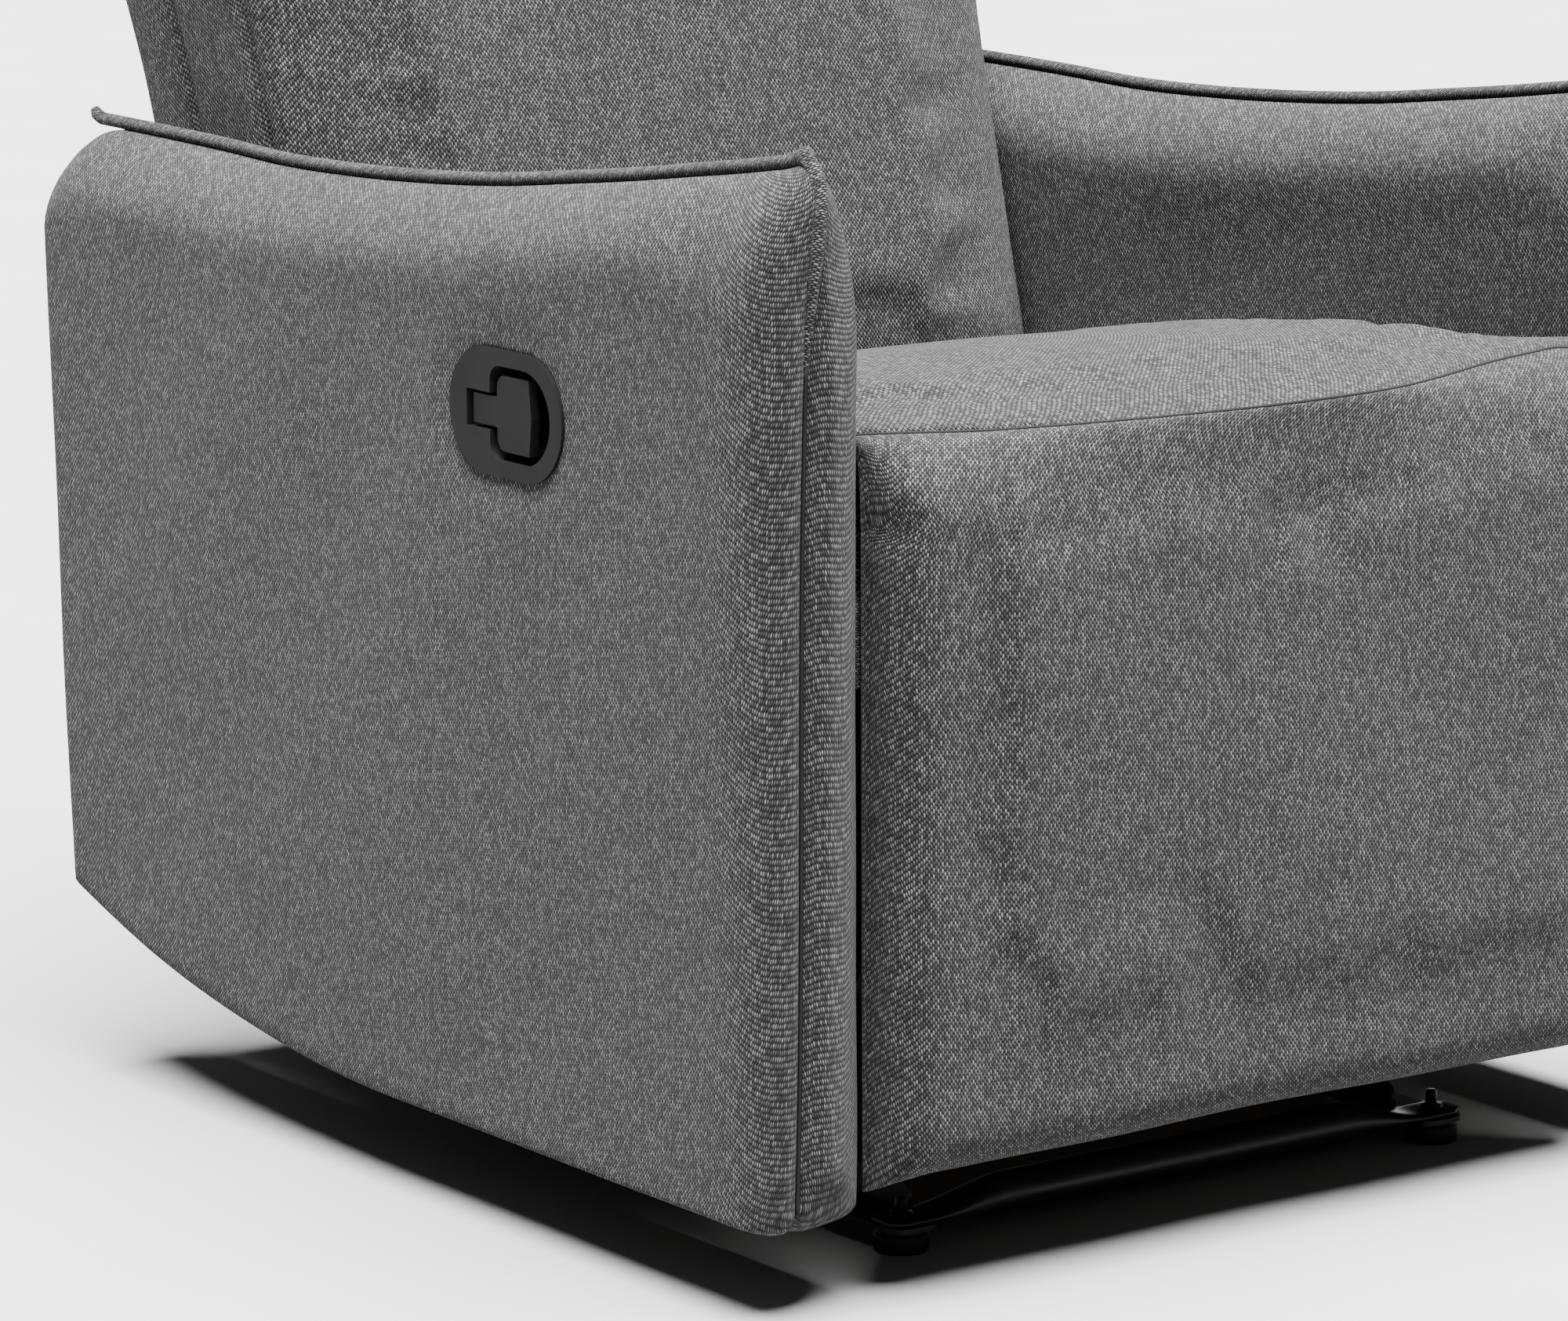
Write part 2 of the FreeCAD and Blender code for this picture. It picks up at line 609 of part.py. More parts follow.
def make_piping(name, side):
    """The cord sewn along the ridge, from the rear corner to the tip."""
    corner, toe = SIZES["arm_corner"], SIZES["arm_toe"]
    front, rear = SIZES["arm_front"], SIZES["arm_rear"]
    tip, tail = SIZES["arm_tip_height"], SIZES["arm_rear_height"]
    radius = SIZES["piping_radius"]
    x = side * SIZES["arm_ridge"]
    top_rear = FreeCAD.Vector(0, rear - corner, tail)
    top_tip = FreeCAD.Vector(0, front + toe, tip)
    chord = top_tip - top_rear
    rise = math.sqrt(SIZES["arm_top_curve"] ** 2 - (chord.Length / 2) ** 2)
    up = FreeCAD.Vector(0, -chord.z, chord.y).normalize()
    if up.z < 0:
        up = -up
    centre = top_rear + chord * 0.5 + up * rise
    sag = centre - up * SIZES["arm_top_curve"]
    path = Part.Wire([Part.Arc(top_rear, sag, top_tip).toShape()])
    tangent = (centre - top_rear).cross(FreeCAD.Vector(1, 0, 0))
    section = Part.Wire(Part.makeCircle(radius, top_rear, tangent))
    item = doc.addObject("Part::Feature", f"arm_piping_{name}")
    solid = path.makePipeShell([section], True, False)
    solid.translate(FreeCAD.Vector(x, 0, radius / 2))
    item.Shape = solid
    return item


def make_arm_bolts():
    """Two bolts a side, from the seat's side rail into the arm's board."""
    bolts = []
    length = get("arm_ridge") - SIDE_RAIL_IN
    z = RAIL_LOW + get("rail_tall") / 2
    for _, side in SIDES:
        for y in (get("bolt_front"), get("bolt_rear")):
            shank = rod("shank", (outward(side, SIDE_RAIL_IN, length), y, z), get("bolt_radius"), length)
            thick = get("bolt_head_thick")
            head = rod("head", (outward(side, SIDE_RAIL_IN - thick, thick), y, z), get("bolt_head"), thick)
            bolts.append(joined("arm_bolt", [shank, head]))
    return group("arm_bolts", bolts)


def make_arms():
    nodes = [make_arm_bolts()]
    for name, side in SIDES:
        nodes += [make_arm_board(name, side), make_piping(name, side)]
        nodes += [make_arm_pad(name, side, part) for part in ("outer", "inner")]
    return nodes


# ---- latch --------------------------------------------------------------------------------
def latch_marks():
    """The places along Y, front to rear, that the bezel's recess and the lever share."""
    front = LATCH_Y - get("bezel_long") / 2 + get("bezel_rim") + get("throat_lip")
    slot_end = LATCH_Y + get("bezel_long") / 2 - get("bezel_heel")
    throat_end = LATCH_Y + get("throat_back")
    stem_end = slot_end - get("stem_gap")
    paddle_end = throat_end - get("paddle_gap")
    return front, throat_end, slot_end, stem_end, paddle_end


def make_bezel():
    face = get("arm_outer")
    body = new_body("latch_bezel")
    corners, curves = bezel_outline()
    pad(body, draw(body, "YZ_Plane", corners, curves), get("bezel_depth"))
    front, throat_end, slot_end, _, _ = latch_marks()
    throat, slot, z = get("throat_tall") / 2, get("stem_slot") / 2, LATCH_Z
    corner = get("throat_corner")
    corners = [(front + throat, z - throat), (throat_end - corner, z - throat),
               (throat_end, z - throat + corner), (throat_end, z - slot), (slot_end, z - slot),
               (slot_end, z + slot), (throat_end, z + slot), (throat_end, z + throat - corner),
               (throat_end - corner, z + throat), (front + throat, z + throat), (front, z)]
    curves = {1: (corner, -1), 7: (corner, -1), 9: (throat, -1), 10: (throat, -1)}
    pocket(body, draw(body, "YZ_Plane", corners, curves), get("recess_depth"), reverse=True)
    return place(body, -face)


def make_lever():
    """A T-shaped paddle that turns out of the recess about an upright pin in its stem."""
    _, _, _, stem_end, paddle_end = latch_marks()
    tip = paddle_end - get("paddle_long")
    half, stem, z = get("paddle_tall") / 2, get("stem_tall") / 2, LATCH_Z
    round_off, side = get("paddle_corner"), tip + get("paddle_bow")
    corners = [(side, z - half), (paddle_end - round_off, z - half), (paddle_end, z - half + round_off),
               (paddle_end, z - stem), (stem_end, z - stem), (stem_end, z + stem), (paddle_end, z + stem),
               (paddle_end, z + half - round_off), (paddle_end - round_off, z + half),
               (side, z + half), (tip, z)]
    curves = {1: (round_off, -1), 7: (round_off, -1)}
    body = new_body("latch_lever")
    pad(body, draw(body, "YZ_Plane", corners, curves), get("lever_thick"))
    x = -get("arm_outer") + get("lever_sink")
    place(body, x)
    hole_long = get("stem_slot")
    hole = rod("pin_hole", (x + get("lever_thick") / 2, stem_end - get("pin_back"), z - hole_long / 2),
               get("latch_pin_radius") + get("running_gap"), hole_long, "z")
    lever = doc.addObject("Part::Cut", "latch_lever_drilled")
    lever.Base = body
    lever.Tool = hole
    body.Label = "lever_blank"
    lever.Label = "latch_lever"
    return lever


def make_latch():
    stem_end = latch_marks()[3]
    x = -get("arm_outer") + get("lever_sink") + get("lever_thick") / 2
    long = get("stem_slot")
    foot = (x, stem_end - get("pin_back"), LATCH_Z - long / 2)
    pin = rod("latch_pin", foot, get("latch_pin_radius"), long, "z")
    anchor_x = -get("arm_outer") + get("bezel_depth")
    anchor_deep = get("arm_outer") - get("bezel_depth") - get("arm_ridge") - get("board_thick") / 2
    anchor = box("cable_anchor", (anchor_x, LATCH_Y - get("anchor_wide") / 2, LATCH_Z - get("anchor_tall")),
                 (anchor_deep, get("anchor_wide"), get("anchor_tall")))
    return [make_bezel(), make_lever(), pin, anchor, make_cable()]


def make_cable():
    """Down inside the arm, round one bend and in to the seat's right plate."""
    x = -SIZES["arm_outer"] + SIZES["bezel_depth"] + SIZES["cable_behind"]
    y, low, bend = SIZES["latch_y"], SIZES["cable_low"], SIZES["cable_bend"]
    top = FreeCAD.Vector(x, y, SIZES["latch_height"] - SIZES["anchor_tall"])
    bend_start = FreeCAD.Vector(x, y, low + bend)
    turn = bend * math.sqrt(0.5)
    middle = FreeCAD.Vector(x + bend - turn, y, low + bend - turn)
    bend_end = FreeCAD.Vector(x + bend, y, low)
    end = FreeCAD.Vector(-PLATE_OUT.value, y, low)
    path = Part.Wire([Part.LineSegment(top, bend_start).toShape(),
                      Part.Arc(bend_start, middle, bend_end).toShape(),
                      Part.LineSegment(bend_end, end).toShape()])
    section = Part.Wire(Part.makeCircle(SIZES["cable_radius"], top, FreeCAD.Vector(0, 0, -1)))
    item = doc.addObject("Part::Feature", "release_cable")
    item.Shape = path.makePipeShell([section], True, False)
    area = math.pi * SIZES["cable_radius"] ** 2
    if abs(item.Shape.Volume - area * path.Length) > 0.02 * area * path.Length:
        raise RuntimeError("release_cable: volume is off")
    return item


# ---- backrest -----------------------------------------------------------------------------
LEAN = get("back_lean")


def leaned(item, x, behind, along):
    """Place an item that leans with the backrest: behind and along are counted from its pivot."""
    y = get("back_y") + behind * cosine(LEAN) + along * sine(LEAN)
    z = get("back_height") + along * cosine(LEAN) - behind * sine(LEAN)
    return place(item, x, y, z, axis=(-1, 0, 0), angle=LEAN)


def leaned_box(label, low, span):
    item = doc.addObject("Part::Box", label)
    bind(item, Length=span[0], Width=span[1], Height=span[2])
    return leaned(item, *low)


def tray(label, corners, curves, thick, reverse, hollow, hollow_deep):
    """A slab drawn from the front, with a hollow for the frame cut into the face it is drawn on."""
    body = new_body(label)
    pad(body, draw(body, "XZ_Plane", corners, curves), thick, reverse=reverse)
    if hollow:
        pocket(body, draw(body, "XZ_Plane", hollow), hollow_deep, reverse=not reverse)
    return body


def back_outline():
    low, top, shoulder = get("back_low"), get("back_top"), get("back_shoulder")
    half, flare = get("back_half"), get("back_flare")
    start, end = get("flare_start"), get("flare_end")
    corners = [(-half, low), (half, low), (half, start), (flare, end), (flare, top - shoulder),
               (flare - shoulder, top), (shoulder - flare, top), (-flare, top - shoulder),
               (-flare, end), (-half, start)]
    return corners, {4: (shoulder, -1), 6: (shoulder, -1)}


def make_backrest():
    corners, curves = back_outline()
    face = get("shell_front")
    cushion = tray("back_cushion", corners, curves, get("cushion_front") + face, False, None, None)
    leaned(cushion, 0, face, 0)
    hollow_half = HINGE_PLATE_IN
    low, top = get("back_low") - get("hollow_open"), get("post_top")
    hollow = [(-hollow_half, low), (hollow_half, low), (hollow_half, top), (-hollow_half, top)]
    shell = tray("back_shell", corners, curves, get("shell_rear") - face, True, hollow, get("post_depth"))
    leaned(shell, 0, face, 0)
    nodes = [cushion, shell]
    deep = get("post_depth")
    post_low, post_top = get("post_low"), get("post_top")
    cross, cross_low = get("cross_tall"), get("back_low") + get("cross_low")
    for label, along in (("back_bottom_rail", cross_low), ("back_top_rail", post_top - cross)):
        nodes.append(leaned_box(label, (-POST_IN, face, along), (POST_IN * 2, deep, cross)))
    straps = []
    gap = (post_top - cross_low - cross * 2) / (STRAPS + 1)
    for number in range(1, STRAPS + 1):
        along = cross_low + cross + gap * number - get("strap_wide") / 2
        straps.append(leaned_box("strap", (-POST_IN, face + get("strap_sink"), along),
                                 (POST_IN * 2, get("strap_thick"), get("strap_wide"))))
    nodes.append(group("back_webbing", straps))
    for name, side in SIDES:
        low_x = outward(side, POST_IN, get("post_wide"))
        nodes.append(leaned_box(f"back_post_{name}", (low_x, face, post_low),
                                (get("post_wide"), deep, post_top - post_low)))
        nodes.append(make_back_bracket(name, side, face + deep))
    return nodes


def make_back_bracket(name, side, rear):
    """The plate screwed to the post's outer face, turning on the pivot rivet."""
    body = new_body(f"back_bracket_{name}")
    half, gap, top = get("bracket_half"), get("bracket_gap"), get("bracket_top")
    corners = [(0, -half), (rear, gap), (rear, top), (get("shell_front"), top),
               (get("shell_front"), get("back_low") - gap), (-half, 0)]
    curves = {5: (half, -1)}
    hole = (0, 0, get("rivet_radius") + get("running_gap"))
    pad(body, draw(body, "YZ_Plane", corners, curves, [hole]), HINGE_PLATE)
    return leaned(body, outward(side, BACK_BRACKET_IN, HINGE_PLATE), size(0), size(0))


# ---- footrest -----------------------------------------------------------------------------
def make_footrest():
    half, corner = get("panel_half"), get("panel_corner")
    low, top, margin = get("panel_base"), get("panel_top"), get("panel_margin")
    corners = [(corner - half, low), (half - corner, low), (half, low + corner), (half, top),
               (-half, top), (-half, low + corner)]
    curves = {1: (corner, -1), 5: (corner, -1)}
    board_low, board_top, board_half = low + margin, top - margin, half - margin
    hollow = [(-board_half, board_low), (board_half, board_low), (board_half, board_top),
              (-board_half, board_top)]
    thick = get("panel_back") - get("panel_front")
    deep = get("panel_board")
    panel = tray("footrest_pad", corners, curves, thick, False, hollow, deep)
    place(panel, 0, get("panel_back"), 0)
    board = box("footrest_board", (-board_half, get("panel_back") - deep, board_low),
                (board_half * 2, deep, board_top - board_low))
    nodes = [panel, board]
    face = get("panel_back")
    y, z = get("hinge_y") + get("pull_back"), get("hinge_height") - get("pull_drop")
    rivets = []
    for name, side in SIDES:
        foot, end = get("pull_foot"), BAR_WIDE / 2
        corners = [(face, z - foot), (y, z - end), (y + end, z), (y, z + end), (face, z + foot)]
        curves = {1: (end, -1), 2: (end, -1)}
        nodes.append(side_plate(f"footrest_bracket_{name}", side, BRACKET_IN, BAR_THICK, corners, curves))
        rivets.append(rivet("pull_rivet", side, BRACKET_IN, y, z, PLANE_GAP + BAR_THICK, inward=True))
    return nodes + [group("footrest_pivot_rivets", rivets)]


def make_footrest_linkage():
    """A parallelogram: the swing bar turns with the panel and the connecting bar keeps its angle."""
    top = (get("swing_y"), get("swing_height"))
    foot = (top[0] + get("pull_back"), top[1] - get("pull_drop"))
    panel = (get("hinge_y") + get("pull_back"), get("hinge_height") - get("pull_drop"))
    nodes, rivets = [], []
    for name, side in SIDES:
        nodes.append(bar(f"swing_bar_{name}", side, SWING_IN, top, foot))
        nodes.append(bar(f"connecting_bar_{name}", side, CONNECT_IN, foot, panel))
        rivets.append(rivet("bar_rivet", side, SWING_IN + BAR_THICK, foot[0], foot[1], PLANE_GAP + BAR_THICK))
    return nodes + [group("bar_pivot_rivets", rivets)]


# ---- build, check and write ---------------------------------------------------------------
nodes = (make_base() + make_links() + make_seat() + make_arms() + make_latch() + make_backrest()
         + make_footrest() + make_footrest_linkage())
doc.recompute()
for item in doc.Objects:
    if "Invalid" in item.State or "Error" in item.State:
        raise RuntimeError(f"{item.Label}: {item.State}")
for node in nodes:
    if node.Shape.isNull() or not node.Shape.isValid() or not node.Shape.Solids:
        raise RuntimeError(f"{node.Label}: no valid solid")
for node in nodes:
    node.Shape.exportStep(f"parts/{node.Label}.step")
whole = Part.makeCompound([node.Shape for node in nodes]).BoundBox
print(len(nodes), "nodes; X", round(whole.XMin, 1), round(whole.XMax, 1), "Y", round(whole.YMin, 1),
      round(whole.YMax, 1), "Z", round(whole.ZMin, 1), round(whole.ZMax, 1))
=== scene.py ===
"""The looks of the recliner armchair: upholstery, latch, base and studio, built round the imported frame.

Metres, +Z up, the sitter faces -Y. Each cover is a grid of points worked out from the sizes of the CAD
node it stands for, so a cover keeps its length-true UV map, which the weave follows.
"""
import json
import math

import bmesh
import bpy
import numpy as np
from mathutils import Matrix, Vector


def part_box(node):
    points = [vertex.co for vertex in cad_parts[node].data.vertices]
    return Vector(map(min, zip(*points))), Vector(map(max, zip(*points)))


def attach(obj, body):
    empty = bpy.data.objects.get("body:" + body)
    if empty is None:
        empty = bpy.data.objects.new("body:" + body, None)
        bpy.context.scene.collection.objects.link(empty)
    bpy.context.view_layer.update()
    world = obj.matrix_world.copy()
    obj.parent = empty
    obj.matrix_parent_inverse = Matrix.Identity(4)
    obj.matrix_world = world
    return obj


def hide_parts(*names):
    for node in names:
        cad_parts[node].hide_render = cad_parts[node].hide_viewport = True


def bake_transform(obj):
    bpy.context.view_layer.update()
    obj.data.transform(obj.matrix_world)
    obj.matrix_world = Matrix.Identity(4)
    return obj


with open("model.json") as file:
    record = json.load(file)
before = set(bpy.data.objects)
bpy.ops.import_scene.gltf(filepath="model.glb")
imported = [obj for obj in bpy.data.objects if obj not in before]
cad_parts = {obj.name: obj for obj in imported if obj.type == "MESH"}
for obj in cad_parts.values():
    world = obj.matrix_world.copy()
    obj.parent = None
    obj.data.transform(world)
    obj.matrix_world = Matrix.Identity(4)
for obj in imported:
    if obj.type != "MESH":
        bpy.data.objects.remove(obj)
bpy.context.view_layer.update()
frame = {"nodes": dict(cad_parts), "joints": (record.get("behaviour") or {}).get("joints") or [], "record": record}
nodes = frame["nodes"]
MM = 0.001


# ---- shapes of one number ------------------------------------------------------------------
def smooth(edge_low, edge_high, value):
    """0 below edge_low, 1 above edge_high and an easy curve between."""
    t = np.clip((value - edge_low) / (edge_high - edge_low), 0, 1)
    return t * t * (3 - 2 * t)


def swell(distance, radius, power=2.0):
    """How full a cover is at a distance in from its seam: 0 on the seam, 1 a radius away."""
    q = np.clip(distance / radius, 0, 1)
    return (1 - (1 - q) ** power) ** (1 / power)


def curve_through(points):
    """A smooth function through a few points, in order of the first number."""
    xs = np.array([p[0] for p in points], float)
    ys = np.array([p[1] for p in points], float)
    slopes = np.gradient(ys, xs)

    def value(x):
        x = np.clip(x, xs[0], xs[-1])
        i = np.clip(np.searchsorted(xs, x) - 1, 0, len(xs) - 2)
        h = xs[i + 1] - xs[i]
        t = (x - xs[i]) / h
        a = (1 + 2 * t) * (1 - t) ** 2 * ys[i] + t * (1 - t) ** 2 * h * slopes[i]
        b = t * t * (3 - 2 * t) * ys[i + 1] + t * t * (t - 1) * h * slopes[i + 1]
        return a + b

    return value


def stations(length, low_radius, high_radius, step, rings=8, pinch=2.0):
    """Shares of a length: close together over the round at each end, evenly spaced between."""
    turn = np.linspace(0, 1, rings + 1)
    low = low_radius * turn ** pinch
    high = length - high_radius * turn ** pinch
    count = max(2, int((high[-1] - low[-1]) / step))
    middle = np.linspace(low[-1], high[-1], count + 1)[1:-1]
    return np.concatenate([low, middle, high[::-1]]) / length


def waves(seed, count, longest, shortest):
    """A gentle uneven field over a plane: a fixed set of crossed waves."""
    rng = np.random.default_rng(seed)
    heading = rng.uniform(0, 2 * math.pi, count)
    number = 2 * math.pi / rng.uniform(shortest, longest, count)
    phase = rng.uniform(0, 2 * math.pi, count)

    def field(p, q):
        total = np.zeros(np.broadcast(p, q).shape)
        for a, k, f in zip(heading, number, phase):
            total += np.sin(k * (p * math.cos(a) + q * math.sin(a)) + f)
        return total / math.sqrt(count)

    return field


# ---- meshes --------------------------------------------------------------------------------
class Skin:
    """Grids of points that become one mesh, with a UV map in metres of cloth."""

    def __init__(self):
        self.points, self.faces, self.uvs, self.count = [], [], [], 0

    def grid(self, points, flip=False, shift=(0.0, 0.0)):
        rows, columns = points.shape[:2]
        along = np.linalg.norm(np.diff(points, axis=0), axis=2)
        across = np.linalg.norm(np.diff(points, axis=1), axis=2)
        u = np.zeros((rows, columns))
        v = np.zeros((rows, columns))
        u[1:] = np.cumsum(along, axis=0)
        v[:, 1:] = np.cumsum(across, axis=1)
        u += shift[0] - u[rows // 2, columns // 2]
        v += shift[1] - v[rows // 2, columns // 2]
        uv = np.stack([u, v], -1).reshape(-1, 2)
        index = np.arange(rows * columns).reshape(rows, columns)
        quads = np.stack([index[:-1, :-1], index[1:, :-1], index[1:, 1:], index[:-1, 1:]], -1).reshape(-1, 4)
        if flip:
            quads = quads[:, ::-1]
        self.points.append(points.reshape(-1, 3))
        self.faces.append(quads + self.count)
        self.uvs.append(uv[quads].reshape(-1, 2))
        self.count += rows * columns
        return self

    def build(self, name, material, weld=5e-5):
        mesh = bpy.data.meshes.new(name)
        faces = np.concatenate(self.faces)
        mesh.from_pydata(np.concatenate(self.points).tolist(), [], faces.tolist())
        layer = mesh.uv_layers.new(name="cloth")
        layer.data.foreach_set("uv", np.concatenate(self.uvs).astype(np.float32).ravel())
        bm = bmesh.new()
        bm.from_mesh(mesh)
        bmesh.ops.remove_doubles(bm, verts=bm.verts, dist=weld)
        bmesh.ops.dissolve_degenerate(bm, edges=bm.edges, dist=1e-6)
        bmesh.ops.recalc_face_normals(bm, faces=bm.faces)
        bm.to_mesh(mesh)
        bm.free()
        mesh.polygons.foreach_set("use_smooth", [True] * len(mesh.polygons))
        mesh.materials.append(material)
        item = bpy.data.objects.new(name, mesh)
        bpy.context.scene.collection.objects.link(item)
        return item


def tube(skin, path, radius, around=12, squeeze=None):
    """A round cord along a path; squeeze(i) gives (width, height) shares at each point."""
    path = np.asarray(path, float)
    way = np.gradient(path, axis=0)
    way /= np.linalg.norm(way, axis=1)[:, None]
    side = np.cross(way, (0, 0, 1.0))
    weak = np.linalg.norm(side, axis=1) < 0.2
    side[weak] = np.cross(way[weak], (1.0, 0, 0))
    for i in range(1, len(side)):
        if side[i] @ side[i - 1] < 0:
            side[i] = -side[i]
    side /= np.linalg.norm(side, axis=1)[:, None]
    top = np.cross(side, way)
    angles = np.linspace(0, 2 * math.pi, around + 1)
    rings = []
    for i, point in enumerate(path):
        wide, high = squeeze(i) if squeeze else (1.0, 1.0)
        ring = np.outer(np.cos(angles) * wide, side[i]) + np.outer(np.sin(angles) * high, top[i])
        rings.append(point + radius * ring)
    skin.grid(np.array(rings))
    for end, flip in ((0, False), (-1, True)):
        centre = path[end]
        cap = np.stack([np.repeat(centre[None], around + 1, 0), rings[end]])
        skin.grid(cap, flip)
    return skin


def settle(item, loose, pressure, grow, cap, frames=14):
    """Lets the cover settle as cloth: loose is each point's freedom, from 0 on a seam to 1."""
    mesh = item.data
    rest = np.zeros(len(mesh.vertices) * 3)
    mesh.vertices.foreach_get("co", rest)
    rest = rest.reshape(-1, 3)
    freedom = np.clip(loose(rest), 0, 1)
    pins = item.vertex_groups.new(name="pins")
    for index, value in enumerate(1 - freedom):
        pins.add([index], float(value), "REPLACE")
    cloth = item.modifiers.new("cloth", "CLOTH")
    options = cloth.settings
    options.quality = 6
    options.mass = 0.25
    options.tension_stiffness = options.compression_stiffness = 25
    options.shear_stiffness = 8
    options.bending_stiffness = 1.2
    options.use_pressure = True
    options.uniform_pressure_force = pressure
    options.shrink_min = -grow
    options.vertex_group_mass = "pins"
    options.pin_stiffness = 1.0
    options.effector_weights.gravity = 0
    cloth.collision_settings.use_collision = False
    cloth.point_cache.frame_start = 1
    cloth.point_cache.frame_end = frames
    scene = bpy.context.scene
    for number in range(1, frames + 1):
        scene.frame_set(number)
    solved = item.evaluated_get(bpy.context.evaluated_depsgraph_get()).to_mesh()
    moved = np.zeros(len(solved.vertices) * 3)
    solved.vertices.foreach_get("co", moved)
    item.modifiers.remove(cloth)
    item.vertex_groups.remove(pins)
    scene.frame_set(1)
    step = moved.reshape(-1, 3) - rest
    length = np.linalg.norm(step, axis=1)
    share = np.minimum(1.0, cap / np.maximum(length, 1e-9)) * freedom ** 0.3
    mesh.vertices.foreach_set("co", (rest + step * share[:, None]).ravel())
    mesh.update()
    return item


# ---- materials -----------------------------------------------------------------------------
class Nodes:
    """Short names for adding and joining shader nodes."""

    def __init__(self, name):
        self.material = bpy.data.materials.new(name)
        self.material.use_nodes = True
        self.tree = self.material.node_tree
        self.shader = self.tree.nodes["Principled BSDF"]

    def add(self, kind, inputs=None, **settings):
        node = self.tree.nodes.new(kind)
        for key, value in settings.items():
            setattr(node, key, value)
        for key, value in (inputs or {}).items():
            self.join(value, node.inputs[key])
        return node

    def join(self, value, socket):
        if isinstance(value, bpy.types.NodeSocket):
            self.tree.links.new(value, socket)
        else:
            socket.default_value = value

    def math(self, operation, a, b=0.0, c=0.0):
        return self.add("ShaderNodeMath", {0: a, 1: b, 2: c}, operation=operation).outputs[0]

    def scaled(self, vector, x, y, z=1.0):
        node = self.add("ShaderNodeMapping", {"Vector": vector, "Scale": (x, y, z)})
        return node.outputs[0]

    def noise(self, vector, scale, detail=2.0, rough=0.5):
        inputs = {"Vector": vector, "Scale": scale, "Detail": detail, "Roughness": rough}
        node = self.add("ShaderNodeTexNoise", inputs)
        return node.outputs["Fac"]

    def ramp(self, value, stops):
        node = self.add("ShaderNodeValToRGB", {"Fac": value})
        elements = node.color_ramp.elements
        while len(elements) < len(stops):
            elements.new(0.5)
        for element, (position, colour) in zip(elements, stops):
            element.position = position
            element.color = (*colour, 1.0) if hasattr(colour, "__len__") else (colour, colour, colour, 1.0)
        return node.outputs["Color"]

    def mix(self, share, a, b, blend="MIX"):
        node = self.add("ShaderNodeMix", data_type="RGBA", blend_type=blend)
        self.join(share, node.inputs[0])
        self.join(a, node.inputs[6])
        self.join(b, node.inputs[7])
        return node.outputs[2]

    def bump(self, height, distance, strength=1.0, normal=None):
        node = self.add("ShaderNodeBump", {"Height": height, "Distance": distance, "Strength": strength})
        if normal is not None:
            self.join(normal, node.inputs["Normal"])
        return node.outputs["Normal"]


FLOAT_WIDE, FLOAT_LONG = 1.45 * MM, 3.85 * MM
WANDER = 0.9 * MM
YARN_TONES = (0.008, 0.015, 0.026, 0.041, 0.074)
YARN_STOPS = (0.08, 0.30, 0.50, 0.72, 0.92)
WEAVE_DEPTH = 0.7 * MM


